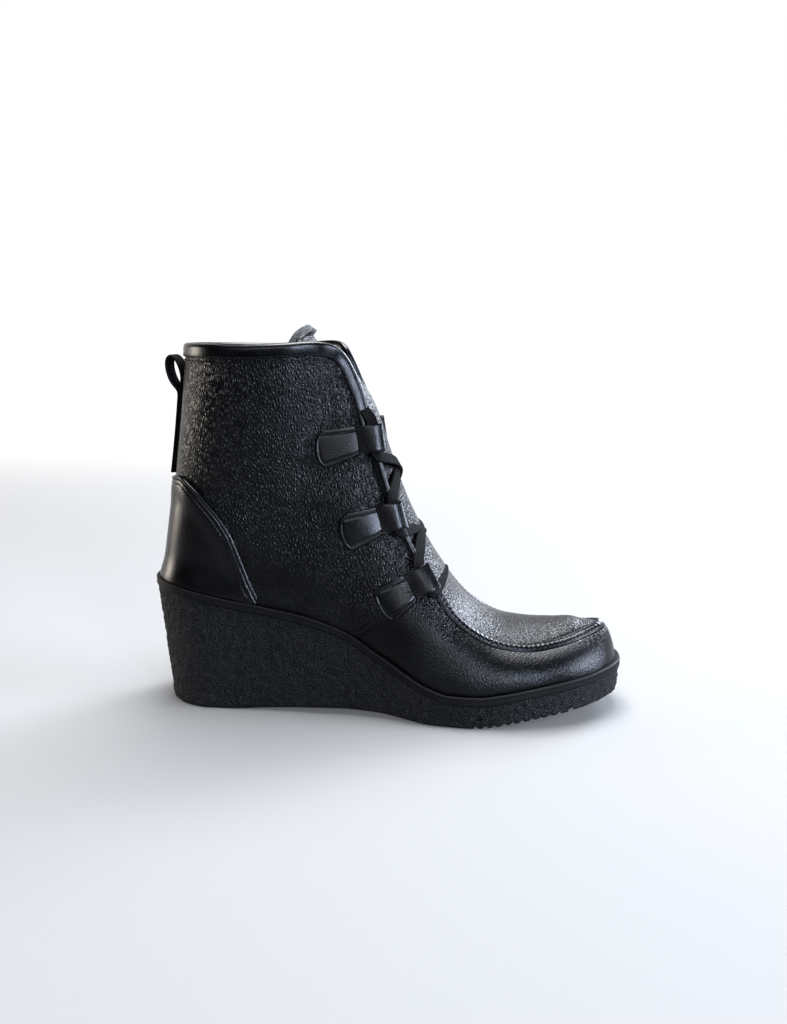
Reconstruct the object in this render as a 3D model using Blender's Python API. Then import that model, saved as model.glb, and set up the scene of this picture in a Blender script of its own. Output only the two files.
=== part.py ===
"""Women's wedge ankle boot, right foot: moccasin apron, looped lacing, crepe wedge.

Metres, +Z up, +X to the toe, +Y to the inner side of the foot.
The origin is on the floor under the middle of the heel seat.
"""
import math

import bmesh
import bpy
from mathutils import Vector

# Driving sizes
LENGTH = 0.2495             # sole, heel back to toe tip
BALL_WIDTH = 0.094          # sole, across the ball
HEEL_HEIGHT = 0.067         # floor to the top of the rand at the back
SOLE_EDGE = 0.0165          # sole and rand together under the ball
TOE_SPRING = 0.0095
ARCH_HEIGHT = 0.003
HEEL_TUCK = 0.0075          # how far the wedge leans in at the back
SIDE_TUCK = 0.0008          # and all round
EDGE_ROUND = 0.0015         # rounding of the sole's bottom edge
HEEL_SEAT = 0.034           # heel back to the origin
RAND_THICKNESS = 0.0045
RAND_SOFTENING = 0.0007
RAND_GROOVE = 0.0008        # the wedge stands this far inside the rand
CLEARANCE = 0.0003
COLLAR_HEIGHT = 0.190
UPPER_WALL = 0.0028
LEDGE = 0.0042              # rand edge to the upper's wall
INSOLE_THICKNESS = 0.0035
COUNTER_THICKNESS = 0.0013
BINDING_WIDTH = 0.0065
BINDING_SWELL = 0.0006      # the binding stands this far proud of the leather
SEAM_HEIGHT = 0.0015        # raised moccasin seam
SEAM_WIDTH = 0.0042
TONGUE_THICKNESS = 0.0045
TONGUE_OVERLAP = 0.009      # tongue under each quarter
TONGUE_LAP = 0.5            # tongue under the apron, in stations
TOOTH_PITCH = 0.0046
TOOTH_DEPTH = 0.0012
TOE_NOTCH_DEPTH = 0.0024
TAB_WIDTH = 0.0142
TAB_THICKNESS = 0.0016
TAB_FLARE = 0.22            # the patch widens downwards to its rear end, of its width
TAB_CORNER = 0.0065
TAB_LEVEL = 0.004           # run of leather that sets the loop's direction
TAB_BLEND = 0.003           # the patch leaves the leather over this run
LOOP_LENGTH = 0.0090        # loop, from its root to its front fold
LOOP_HEIGHT = 0.0046
LOOP_WALL = 0.0011
LOOP_RAMP = 0.0030          # strap between the patch and the loop
LOOP_CENTRE = LOOP_RAMP + LOOP_LENGTH / 2.0
LOOP_ARC = 140.0            # the loop's ring runs this far either way from its front, degrees
SEAM_CLEAR = SEAM_HEIGHT + 2.0 * CLEARANCE
LOOP_MIDDLE = SEAM_CLEAR + 0.35 * LOOP_HEIGHT
LACE_WIDTH = 0.0056
LACE_THICKNESS = 0.0014
LACE_LIFTS = (0.0075, 0.0055, 0.0040)   # swing out over the tongue: bar, low and high crossing
LACE_STRAIGHT = 0.0028      # run out of a loop before the lace turns
LACE_BEND = 0.013
LACE_STUB = 0.012           # length seen above each top loop
LACE_DIP = 0.004            # its end leans in by this
LACE_STACK = 0.85           # two crossing laces press into each other, of their thickness
STRAP_WIDTH = 0.013
STRAP_THICKNESS = 0.0025
LOOP_RISE = 0.0220          # pull loop above the strap
LOOP_GAPE = 0.0095
LOOP_LEAN = -0.30           # back per rise
LOOP_CENTRE_SHARE = 0.55    # centre and half height of the loop, of LOOP_RISE
LOOP_HALF_SHARE = 0.45
SLIT_CENTRE_SHARE = 0.58
SLIT_HALF_SHARE = 0.42
LOOP_STRAP = 0.0022         # strap round the slit
STRAP_TOP = 0.90            # the strap is free above this, of COLLAR_HEIGHT

# Plan of the sole at the rand: shares of LENGTH, then of BALL_WIDTH
OUTLINE_COLUMNS = ("along", "axis", "half")
OUTLINE = (
    (0.00, 0.000, 0.356),
    (0.15, 0.000, 0.356),
    (0.27, -0.012, 0.342),
    (0.42, -0.032, 0.340),
    (0.50, -0.032, 0.372),
    (0.60, -0.026, 0.458),
    (0.70, -0.014, 0.500),
    (0.78, -0.004, 0.500),
    (0.88, 0.016, 0.500),
    (1.00, 0.053, 0.500),
)
HEEL_CAP = 0.13             # share of LENGTH that the round of the heel takes
TOE_CAP = 0.30
CAP_POWER = 2.2

# Side view of the sole: rise is a share of the heel's height over the ball,
# spring of TOE_SPRING and arch of ARCH_HEIGHT
PROFILE_COLUMNS = ("along", "rise", "spring", "arch")
PROFILE = (
    (0.00, 1.000, 0.00, 0.00),
    (0.05, 0.980, 0.00, 0.00),
    (0.10, 0.927, 0.00, 0.00),
    (0.18, 0.846, 0.00, 0.00),
    (0.27, 0.768, 0.00, 0.45),
    (0.34, 0.703, 0.00, 0.80),
    (0.42, 0.580, 0.00, 1.00),
    (0.50, 0.351, 0.00, 0.90),
    (0.545, 0.218, 0.00, 0.55),
    (0.59, 0.097, 0.00, 0.15),
    (0.61, 0.055, 0.00, 0.00),
    (0.65, 0.004, 0.00, 0.00),
    (0.71, 0.000, 0.00, 0.00),
    (0.76, 0.000, 0.17, 0.00),
    (0.81, 0.000, 0.40, 0.00),
    (0.86, 0.000, 0.60, 0.00),
    (0.92, 0.000, 0.80, 0.00),
    (1.00, 0.000, 1.00, 0.00),
)
ROUND_STEP = 14             # degrees between rows in the round of the heel
ROW_STEP = 0.028            # share of LENGTH between plain rows
TIP_ANGLES = (46, 53, 60, 67, 74, 81, 90)
TOOTH_FACE = 0.62           # length of a tooth, of the pitch
TREAD_START = 0.69          # shares of LENGTH
TREAD_END = 0.88
NOTCH_START = 0.888
NOTCH_END = 0.900
NOTCH_SLOPE = 0.002

# Ribs of the upper, heel to toe: foot and edge_x are shares of LENGTH, edge_y,
# swell and reach of BALL_WIDTH, edge_z of COLLAR_HEIGHT, rise and drop of the
# rib, crown of the apron's half width, setback of INNER_SETBACK
RIB_COLUMNS = ("station", "foot", "edge_x", "edge_y", "edge_z", "rise", "swell",
               "drop", "reach", "crown", "setback")
RIBS = (
    (0, 0.000, 0.074, 0.000, 1.000, 0.25, 0.035, 0.37, 0.000, 0.000, 0.0),
    (1, 0.020, 0.096, 0.207, 1.000, 0.25, 0.033, 0.37, 0.000, 0.000, 0.0),
    (2, 0.064, 0.152, 0.351, 0.998, 0.28, 0.028, 0.36, -0.016, 0.000, 0.0),
    (3, 0.132, 0.228, 0.399, 0.996, 0.30, 0.026, 0.35, -0.027, 0.000, 0.0),
    (4, 0.200, 0.313, 0.391, 1.000, 0.30, 0.032, 0.34, -0.011, 0.000, 0.0),
    (5, 0.253, 0.379, 0.324, 1.004, 0.30, 0.043, 0.33, 0.027, 0.000, 0.2),
    (6, 0.289, 0.419, 0.243, 0.987, 0.30, 0.049, 0.32, 0.074, 0.000, 0.7),
    (7, 0.337, 0.449, 0.223, 0.926, 0.32, 0.053, 0.32, 0.096, 0.000, 1.0),
    (8, 0.389, 0.475, 0.223, 0.834, 0.33, 0.053, 0.32, 0.106, 0.100, 1.0),
    (9, 0.441, 0.498, 0.229, 0.705, 0.35, 0.053, 0.32, 0.106, 0.140, 1.0),
    (10, 0.489, 0.528, 0.237, 0.579, 0.36, 0.048, 0.30, 0.112, 0.160, 0.9),
    (11, 0.541, 0.567, 0.252, 0.463, 0.38, 0.043, 0.25, 0.117, 0.180, 0.6),
    (12, 0.593, 0.606, 0.273, 0.382, 0.42, 0.032, 0.18, 0.117, 0.190, 0.3),
    (13, 0.653, 0.655, 0.306, 0.286, 0.50, 0.023, 0.10, 0.106, 0.160, 0.0),
    (14, 0.721, 0.721, 0.321, 0.224, 0.58, 0.019, 0.06, 0.085, 0.215, 0.0),
    (15, 0.802, 0.798, 0.295, 0.201, 0.60, 0.016, 0.05, 0.080, 0.300, 0.0),
    (16, 0.882, 0.864, 0.229, 0.205, 0.60, 0.014, 0.08, 0.064, 0.350, 0.0),
    (17, 0.950, 0.920, 0.133, 0.217, 0.60, 0.016, 0.15, 0.048, 0.400, 0.0),
    (18, 1.000, 0.966, 0.000, 0.232, 0.50, 0.024, 0.20, 0.018, 0.000, 0.0),
)
TOE_STATION = 18
THROAT_STATION = 12         # bottom of the throat, where the apron starts
BINDING_STATION = 8         # the binding ends here, above the top loops
INNER_SETBACK = 0.0025      # the inner throat edge lies this far back
LEAN_STATION = 15
SEAM_LEAN = 0.032           # from there the seam leans to the inner side, of BALL_WIDTH
STATION_STEP = 0.4
TINY = 1e-6                 # stations nearer than this are the same one
HALVINGS = 30               # search steps for a place on the wall
SEARCH_START = (9.0, 0.7)   # station and u at the middle of the tabs
STATION_NUDGE = 0.02        # small steps that measure slopes on the wall
SHARE_NUDGE = 0.01
STATION_LIMIT = 0.6         # longest search step
SHARE_LIMIT = 0.1
BODY_ROWS = 8
SEAM_ROWS = (               # distance from the edge and height, of SEAM_WIDTH and SEAM_HEIGHT
    (1.00, 0.00),
    (0.75, 0.85),
    (0.40, 1.00),
    (0.00, 0.55),
)
SEAM_BACK_HEIGHT = 0.75     # the seam's ridge on the apron's side
APRON_COLUMNS = 8

# Upper edge of the heel counter, side view: shares of LENGTH and COLLAR_HEIGHT
COUNTER_COLUMNS = ("along", "height")
COUNTER = (
    (0.03, 0.628),
    (0.08, 0.645),
    (0.12, 0.615),
    (0.165, 0.555),
    (0.195, 0.493),
    (0.215, 0.425),
    (0.235, 0.357),
    (0.262, 0.305),
)
COUNTER_STATION = 4.8
COUNTER_ROWS = 7

# Tongue, bottom to top: back, raise and wrap are shares of COLLAR_HEIGHT
TONGUE_COLUMNS = ("station", "back", "raise", "wrap")
TONGUE = (
    (12.0, 0.000, 0.000, 0.000),
    (9.0, 0.000, 0.000, 0.000),
    (7.6, 0.014, 0.000, 0.010),
    (6.7, 0.042, 0.010, 0.030),
    (6.0, 0.072, 0.058, 0.055),
)
TONGUE_ROWS = 16
TONGUE_COLUMNS_ACROSS = 6
TONGUE_CROWN_STATION = 11.1     # the tongue lies flat from here down, under the apron
TONGUE_CLEAR_STATION = 11.0     # and rises flush with the quarters from here up
TONGUE_WIDENING = 3.0           # stations over which its flanges reach full width
TONGUE_SPREAD = 0.6
TONGUE_ARCH = 0.9
NEAR_EDGE = 0.97

# Lace tabs, side view: rear end and loop root, shares of LENGTH and COLLAR_HEIGHT
TAB_COLUMNS = ("name", "rear_x", "rear_z", "root_x", "root_z", "tilt")
TABS = (
    ("low", 0.497, 0.318, 0.588, 0.374, 32.0),
    ("middle", 0.420, 0.512, 0.524, 0.543, 16.0),
    ("top", 0.369, 0.734, 0.478, 0.751, 9.0),
)


def column(columns, rows, name):
    """One named column of a table."""
    i = columns.index(name)
    return [row[i] for row in rows]


def curve_value(xs, ys, x, keep_flat=False, round_ends=False):
    """Smooth curve through table rows.

    keep_flat never overshoots a level run, and round_ends lets the ends leave at a slope.
    """
    if xs[0] > xs[-1]:
        xs, ys = xs[::-1], ys[::-1]
    if x <= xs[0]:
        return ys[0]
    if x >= xs[-1]:
        return ys[-1]
    i = max(k for k in range(len(xs) - 1) if xs[k] <= x)

    def step_slope(k):
        return (ys[k + 1] - ys[k]) / (xs[k + 1] - xs[k])

    def slope(k):
        if k == 0 or k == len(xs) - 1:
            return 0.0
        before, after = step_slope(k - 1), step_slope(k)
        if keep_flat:
            if before * after <= 0.0:
                return 0.0
            return 2.0 * before * after / (before + after)
        return (ys[k + 1] - ys[k - 1]) / (xs[k + 1] - xs[k - 1])

    width = xs[i + 1] - xs[i]
    s = (x - xs[i]) / width
    first = slope(i)
    last = slope(i + 1)
    if round_ends and i == 0:
        first = 1.5 * step_slope(0) - 0.5 * last
    if round_ends and i == len(xs) - 2:
        last = 1.5 * step_slope(i) - 0.5 * first
    return ((2 * s ** 3 - 3 * s ** 2 + 1) * ys[i] + (s ** 3 - 2 * s ** 2 + s) * width * first
            + (3 * s ** 2 - 2 * s ** 3) * ys[i + 1] + (s ** 3 - s ** 2) * width * last)


def cap_share(along):
    """Narrowing of the outline in the rounds of heel and toe."""
    share = 1.0
    if along < HEEL_CAP:
        share = (1.0 - (1.0 - along / HEEL_CAP) ** CAP_POWER) ** (1.0 / CAP_POWER)
    if along > 1.0 - TOE_CAP:
        far = min(1.0, (along - 1.0 + TOE_CAP) / TOE_CAP)
        share = (1.0 - far ** CAP_POWER) ** (1.0 / CAP_POWER)
    return share


def outline_point(along, side):
    """Edge of the rand in plan; side is -1 on the outer side of the foot."""
    xs = column(OUTLINE_COLUMNS, OUTLINE, "along")
    axis = curve_value(xs, column(OUTLINE_COLUMNS, OUTLINE, "axis"), along, True)
    half = curve_value(xs, column(OUTLINE_COLUMNS, OUTLINE, "half"), along, True)
    return Vector((along * LENGTH, BALL_WIDTH * (axis + side * half * cap_share(along)), 0.0))


def profile_value(name, x):
    """A column of PROFILE at x from the heel back."""
    xs = column(PROFILE_COLUMNS, PROFILE, "along")
    return curve_value(xs, column(PROFILE_COLUMNS, PROFILE, name), x / LENGTH, True)


def rand_top(x):
    """Height of the rand's top at x from the heel back."""
    return (SOLE_EDGE + profile_value("rise", x) * (HEEL_HEIGHT - SOLE_EDGE)
            + profile_value("spring", x) * TOE_SPRING)


def sole_bottom(x):
    """Height of the tread at x from the heel back."""
    return profile_value("spring", x) * TOE_SPRING + profile_value("arch", x) * ARCH_HEIGHT


def rib_value(name, station):
    """A column of RIBS at a station on either side."""
    xs = column(RIB_COLUMNS, RIBS, "station")
    ends = name in ("edge_y", "crown")
    return curve_value(xs, column(RIB_COLUMNS, RIBS, name), abs(station), round_ends=ends)


def foot_point(station):
    """Rand edge at a signed station: outer side positive, inner side negative."""
    if station > TOE_STATION:
        station -= 2 * TOE_STATION
    if station < -TOE_STATION:
        station += 2 * TOE_STATION
    side = -1.0 if station >= 0.0 else 1.0
    return outline_point(rib_value("foot", station), side)


def plan_normal(station):
    """Outward direction of the outline in plan."""
    d = foot_point(station + STATION_NUDGE) - foot_point(station - STATION_NUDGE)
    return Vector((d.y, -d.x, 0.0)).normalized()


def edge_point(station):
    """Collar, throat edge or moccasin seam at a signed station."""
    side = -1.0 if station >= 0.0 else 1.0
    x = LENGTH * rib_value("edge_x", station)
    if side > 0.0:
        x -= INNER_SETBACK * rib_value("setback", station)
    forward = max(0.0, abs(station) - LEAN_STATION) / (TOE_STATION - LEAN_STATION)
    lean = SEAM_LEAN * BALL_WIDTH * forward
    y = side * BALL_WIDTH * rib_value("edge_y", station) + lean
    return Vector((x, y, COLLAR_HEIGHT * rib_value("edge_z", station)))


def wall_point(station, u):
    """Leather surface of the upper: u runs from 0 at the sole to 1 at the edge."""
    out = plan_normal(station)
    p0 = foot_point(station) - LEDGE * out
    p0.z = rand_top(p0.x) + CLEARANCE
    p3 = edge_point(station)
    rise = rib_value("rise", station)
    drop = rib_value("drop", station)
    p1 = Vector((p0.x + (p3.x - p0.x) * rise, p0.y, p0.z + (p3.z - p0.z) * rise))
    p1 += out * BALL_WIDTH * rib_value("swell", station)
    p2 = Vector((p3.x + (p0.x - p3.x) * drop, p3.y, p3.z + (p0.z - p3.z) * drop))
    p2 += out * BALL_WIDTH * rib_value("reach", station)
    v = 1.0 - u
    return v ** 3 * p0 + 3 * v * v * u * p1 + 3 * v * u * u * p2 + u ** 3 * p3


def wall_normal(station, u):
    """Outward normal of the leather surface."""
    low, high = max(0.0, u - SHARE_NUDGE), min(1.0, u + SHARE_NUDGE)
    a, b = fold(station - STATION_NUDGE), fold(station + STATION_NUDGE)
    across = wall_point(b, u) - wall_point(a, u)
    return across.cross(wall_point(station, high) - wall_point(station, low)).normalized()


def fold(station):
    """Wraps a signed station round the toe."""
    if station > TOE_STATION:
        return station - 2 * TOE_STATION
    if station < -TOE_STATION:
        return station + 2 * TOE_STATION
    return station


def edge_share(station, distance):
    """u at a distance from the edge, measured square to it on the surface."""
    a, b = fold(station - STATION_NUDGE), fold(station + STATION_NUDGE)
    run = (edge_point(b) - edge_point(a)).normalized()
    down = wall_point(station, 1.0 - SHARE_NUDGE) - edge_point(station)
    square = (down - run * down.dot(run)).length
    return 1.0 - SHARE_NUDGE * distance / square


def place(p):
    """From heel-back coordinates to the part's own frame."""
    return (p[0] - HEEL_SEAT, p[1], p[2])


def make_object(name, points, faces, material, smooth_angle=40.0):
    """One named solid from points in heel-back coordinates."""
    mesh = bpy.data.meshes.new(name)
    mesh.from_pydata([place(p) for p in points], [], faces)
    bm = bmesh.new()
    bm.from_mesh(mesh)
    bmesh.ops.recalc_face_normals(bm, faces=bm.faces)
    bm.to_mesh(mesh)
    bm.free()
    mesh.shade_smooth()
    mesh.set_sharp_from_angle(angle=math.radians(smooth_angle))
    mesh.materials.append(material)
    obj = bpy.data.objects.new(name, mesh)
    COLLECTION.objects.link(obj)
    return obj


def boundary_edges(faces):
    """Directed edges that only one face uses."""
    used = {}
    for face in faces:
        for a, b in zip(face, face[1:] + face[:1]):
            used[(a, b)] = True
    return [edge for edge in used if (edge[1], edge[0]) not in used]


def sheet_solid(name, outer, inner, faces, material):
    """Closes an outer and an inner skin of the same faces along their rims."""
    n = len(outer)
    all_faces = [tuple(f) for f in faces]
    all_faces += [tuple(i + n for i in reversed(f)) for f in faces]
    all_faces += [(b, a, a + n, b + n) for a, b in boundary_edges([tuple(f) for f in faces])]
    return make_object(name, outer + inner, all_faces, material)


def leather(name, colour, roughness):
    """A plain finish for one kind of piece."""
    material = bpy.data.materials.new(name)
    material.use_nodes = True
    shader = material.node_tree.nodes["Principled BSDF"]
    shader.inputs["Base Color"].default_value = (*colour, 1.0)
    shader.inputs["Roughness"].default_value = roughness
    shader.inputs["Metallic"].default_value = 0.0
    return material


def plan_stations(inset):
    """Rows of (outer side, inner side) plan points from heel to toe, set in from the rand."""
    alongs = [HEEL_CAP * (1.0 - math.cos(math.radians(a))) for a in range(0, 84, ROUND_STEP)]
    plain = int((TREAD_START - HEEL_CAP) / ROW_STEP)
    alongs += [HEEL_CAP + ROW_STEP * k for k in range(plain + 1)]
    pitch = TOOTH_PITCH / LENGTH
    teeth = int((TREAD_END - TREAD_START) / pitch)
    for k in range(teeth + 1):
        alongs += [TREAD_START + k * pitch, TREAD_START + (k + TOOTH_FACE) * pitch]
    alongs += [NOTCH_START, NOTCH_START + NOTCH_SLOPE, NOTCH_END - NOTCH_SLOPE, NOTCH_END]
    alongs += [1.0 - TOE_CAP * (1.0 - math.sin(math.radians(a))) for a in TIP_ANGLES]
    alongs = sorted(a for a in set(alongs) if a <= 1.0)
    outer = [outline_point(a, -1.0) for a in alongs]
    inner = [outline_point(a, 1.0) for a in alongs]
    ring = outer + inner[-2:0:-1]
    count = len(ring)
    moved = []
    for k, p in enumerate(ring):
        d = ring[(k + 1) % count] - ring[k - 1]
        out = Vector((d.y, -d.x, 0.0)).normalized()
        moved.append(p - out * inset(p.x / LENGTH))
    last = len(alongs) - 1
    rows = [(moved[0], moved[0])]
    rows += [(moved[k], moved[count - k]) for k in range(1, last)]
    rows.append((moved[last], moved[last]))
    return alongs, rows


def plank(name, levels, material):
    """A solid between stacked outlines; levels are (inset function, height function), top first."""
    points = []
    index = {}
    depth = len(levels)
    stations = 0
    for v, (inset, height) in enumerate(levels):
        alongs, rows = plan_stations(inset)
        stations = len(rows)
        for k, pair in enumerate(rows):
            for s, p in enumerate(pair):
                if s == 1 and k in (0, stations - 1):
                    index[(v, k, 1)] = index[(v, k, 0)]
                    continue
                index[(v, k, s)] = len(points)
                points.append(Vector((p.x, p.y, height(p.x, alongs[k]))))
    faces = []
    for k in range(stations - 1):
        for v in range(depth - 1):
            for s in (0, 1):
                faces.append((index[(v, k, s)], index[(v, k + 1, s)],
                              index[(v + 1, k + 1, s)], index[(v + 1, k, s)]))
        for v in (0, depth - 1):
            ring = [index[(v, k, 0)], index[(v, k + 1, 0)], index[(v, k + 1, 1)], index[(v, k, 1)]]
            faces.append(tuple(dict.fromkeys(ring)))
    return make_object(name, points, faces, material)


def tread_height(x, along):
    """Tread with its teeth at the forefoot and the notch before the toe block."""
    z = sole_bottom(x)
    pitch = TOOTH_PITCH / LENGTH
    if TREAD_START <= along < TREAD_END:
        phase = (along - TREAD_START) / pitch % 1.0
        if TOOTH_FACE / 2.0 < phase < (1.0 + TOOTH_FACE) / 2.0:
            z += TOOTH_DEPTH
    if NOTCH_START < along < NOTCH_END:
        z += TOE_NOTCH_DEPTH
    return z


def build_sole():
    """Crepe wedge under the rand."""
    def tuck(share, extra):
        def inset(along):
            back = max(0.0, 1.0 - along / HEEL_CAP)
            return RAND_GROOVE + extra + share * (SIDE_TUCK + (HEEL_TUCK - SIDE_TUCK) * back)
        return inset

    def height(share, drop):
        def at(x, along):
            top = rand_top(x) - RAND_THICKNESS - CLEARANCE
            bottom = sole_bottom(x) + EDGE_ROUND
            return top + (bottom - top) * share - drop
        return at

    levels = [(tuck(0.0, 0.0), height(0.0, 0.0)), (tuck(0.33, 0.0), height(0.33, 0.0)),
              (tuck(0.67, 0.0), height(0.67, 0.0)), (tuck(1.0, 0.0), height(1.0, 0.0)),
              (tuck(1.0, EDGE_ROUND), tread_height)]
    return plank("wedge_sole", levels, CREPE)


def build_rand():
    """Smooth band with a softened edge, flat on top for the upper."""
    soft = RAND_SOFTENING
    levels = [(lambda a: soft, lambda x, a: rand_top(x)),
              (lambda a: 0.0, lambda x, a: rand_top(x) - soft),
              (lambda a: 0.0, lambda x, a: rand_top(x) - RAND_THICKNESS + soft),
              (lambda a: soft, lambda x, a: rand_top(x) - RAND_THICKNESS)]
    return plank("rand", levels, RUBBER)


def build_insole():
    """Board and sock inside the upper."""
    side = LEDGE + UPPER_WALL + 3.0 * CLEARANCE
    levels = [(lambda a: side, lambda x, a: rand_top(x) + CLEARANCE + INSOLE_THICKNESS),
              (lambda a: side, lambda x, a: rand_top(x) + CLEARANCE)]
    return plank("insole", levels, FLEECE)


def side_stations():
    """Stations of one side, with the binding's end as a pair a clearance apart."""
    count = round(TOE_STATION / STATION_STEP)
    stations = [k * STATION_STEP for k in range(count + 1)]
    run = (edge_point(BINDING_STATION + 0.1) - edge_point(BINDING_STATION)).length / 0.1
    stations += [BINDING_STATION + 3.0 * CLEARANCE / run]
    return sorted(stations)


def edge_rows(station):
    """Distances from the edge and the seam's height at each, bottom to top."""
    raised = SEAM_HEIGHT if abs(station) > BINDING_STATION else 0.0
    rows = [(BINDING_WIDTH + CLEARANCE, 0.0), (BINDING_WIDTH, 0.0)]
    rows += [(SEAM_WIDTH * distance, raised * height) for distance, height in SEAM_ROWS]
    return [(edge_share(station, distance), height) for distance, height in rows]


def wall_grid():
    """Signed stations round the upper and the surface rows of each."""
    one_side = side_stations()
    around = [-s for s in reversed(one_side[1:])] + one_side
    around = around[1:]
    grid = []
    for station in around:
        tops = edge_rows(station)
        start = tops[0][0]
        rows = [(start * k / BODY_ROWS, 0.0) for k in range(BODY_ROWS)] + tops
        grid.append((station, rows))
    return grid


def seat_on_rand(points):
    """Stands a wall's lowest points a clearance above the rand."""
    for p in points:
        p.z = rand_top(p.x) + CLEARANCE


def apron_point(station, j):
    """Apron between the two seams, crowned across; j runs from 0 to 1."""
    a, b = edge_point(station), edge_point(-station)
    before = edge_point(min(station + 0.2, TOE_STATION)) + edge_point(-min(station + 0.2, TOE_STATION))
    after = edge_point(station - 0.2) + edge_point(-(station - 0.2))
    run = (before - after).normalized()
    out = Vector((-run.z, 0.0, run.x)).normalized()
    crown = rib_value("crown", station) * (b - a).length / 2.0
    return a.lerp(b, j) + out * crown * 4.0 * j * (1.0 - j)


def build_upper():
    """Vamp, quarters and apron as one hollow wall, open at collar, throat and sole."""
    grid = wall_grid()
    count = len(grid)
    rows_count = BODY_ROWS + 2 + len(SEAM_ROWS)
    base, lift, faces = [], [], []
    index = {}
    for c, (station, rows) in enumerate(grid):
        for r, (u, h) in enumerate(rows):
            index[(c, r)] = len(base)
            base.append(wall_point(station, u))
            lift.append(h)
    for c in range(count):
        d = (c + 1) % count
        s0, s1 = grid[c][0], grid[d][0]
        bound = min(abs(s0), abs(s1)) <= BINDING_STATION
        for r in range(rows_count - 1):
            if bound and r >= BODY_ROWS:
                continue
            faces.append((index[(c, r)], index[(d, r)], index[(d, r + 1)], index[(c, r + 1)]))
    top = rows_count - 1
    by_station = {round(s, 5): c for c, (s, rows) in enumerate(grid)}
    ladder = [s for s, rows in grid if THROAT_STATION - TINY <= s < TOE_STATION - TINY]
    tip = index[(by_station[round(float(TOE_STATION), 5)], top)]
    seam_share = 0.5 * SEAM_WIDTH
    previous = None
    ladder_lines = []
    for s in ladder:
        left = index[(by_station[round(s, 5)], top)]
        right = index[(by_station[round(-s, 5)], top)]
        width = (base[left] - base[right]).length
        edge_j = min(0.3, seam_share / width)
        line = [left]
        shares = [edge_j, 2.0 * edge_j]
        for k in range(1, APRON_COLUMNS):
            shares.append(2.0 * edge_j + (1.0 - 4.0 * edge_j) * k / APRON_COLUMNS)
        shares += [1.0 - 2.0 * edge_j, 1.0 - edge_j]
        for j in shares:
            line.append(len(base))
            base.append(apron_point(s, j))
            near = min(j, 1.0 - j) / edge_j
            lift.append(SEAM_HEIGHT * (SEAM_BACK_HEIGHT if near < 1.5 else 0.0))
        line.append(right)
        ladder_lines.append(line)
        if previous:
            for k in range(len(line) - 1):
                faces.append((previous[k], line[k], line[k + 1], previous[k + 1]))
        previous = line
    for k in range(len(previous) - 1):
        faces.append((previous[k], tip, previous[k + 1]))
    used = sorted({i for f in faces for i in f})
    renumber = {old: new for new, old in enumerate(used)}
    faces = [tuple(renumber[i] for i in f) for f in faces]
    base = [base[i] for i in used]
    lift = [lift[i] for i in used]
    normals = point_normals(base, faces)
    for c, (station, rows) in enumerate(grid):
        for r, (u, h) in enumerate(rows):
            i = renumber.get(index[(c, r)])
            on_seam = r == top and abs(station) > THROAT_STATION - TINY
            if i is not None and not on_seam:
                normals[i] = wall_normal(station, u)
    outer = [p + n * h for p, n, h in zip(base, normals, lift)]
    inner = [p - n * UPPER_WALL for p, n in zip(base, normals)]
    for c, (station, rows) in enumerate(grid):
        if abs(station) > BINDING_STATION:
            plain = [renumber[index[(c, r)]] for r in range(BODY_ROWS + 1, rows_count)]
            straighten(inner, plain)
    for line in ladder_lines:
        line = [renumber[i] for i in line]
        straighten(inner, line[:4])
        straighten(inner, line[-4:])
    feet = [renumber[index[(c, 0)]] for c in range(count)]
    for i in feet:
        seat_on_rand([outer[i], inner[i]])
    return sheet_solid("upper", outer, inner, faces, SMOOTH_LEATHER)


def straighten(points, line):
    """Lays the points between a line's ends on its chord, keeping their spacing."""
    first, last = points[line[0]].copy(), points[line[-1]].copy()
    runs = [(points[b] - points[a]).length for a, b in zip(line, line[1:])]
    for k in range(1, len(line) - 1):
        points[line[k]] = first.lerp(last, sum(runs[:k]) / sum(runs))


def point_normals(points, faces):
    """Outward normal at each point of a sheet."""
    normals = [Vector() for p in points]
    for face in faces:
        corners = [points[i] for i in face]
        n = (corners[2] - corners[0]).cross(corners[-1] - corners[1 if len(face) > 3 else 0])
        if len(face) == 3:
            n = (corners[1] - corners[0]).cross(corners[2] - corners[0])
        for i in face:
            normals[i] += n.normalized()
    return [n.normalized() for n in normals]


def strip_faces(columns, rows):
    """Quads of a plain grid stored column by column."""
    return [(c * rows + r, (c + 1) * rows + r, (c + 1) * rows + r + 1, c * rows + r + 1)
            for c in range(columns - 1) for r in range(rows - 1)]


def build_binding():
    """Band that wraps the collar's edge and runs down the throat to its end seams."""
    stations = [s for s, rows in wall_grid() if abs(s) <= BINDING_STATION + TINY]
    outer, inner = [], []
    shares = (1.0, 0.5, 0.0)
    for s in stations:
        for share in shares:
            u = edge_share(s, BINDING_WIDTH * share)
            p, n = wall_point(s, u), wall_normal(s, u)
            outer.append(p + n * BINDING_SWELL)
            inner.append(p - n * (UPPER_WALL + BINDING_SWELL))
    faces = strip_faces(len(stations), len(shares))
    return sheet_solid("collar_binding", outer, inner, faces, SMOOTH_LEATHER)


def counter_share(station):
    """u of the counter's upper edge on a rib."""
    xs = [LENGTH * x for x in column(COUNTER_COLUMNS, COUNTER, "along")]
    zs = [COLLAR_HEIGHT * z for z in column(COUNTER_COLUMNS, COUNTER, "height")]
    low, high = 0.0, 1.0
    for step in range(HALVINGS):
        u = 0.5 * (low + high)
        p = wall_point(station, u)
        if p.z < curve_value(xs, zs, p.x, True):
            low = u
        else:
            high = u
    return low


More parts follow.
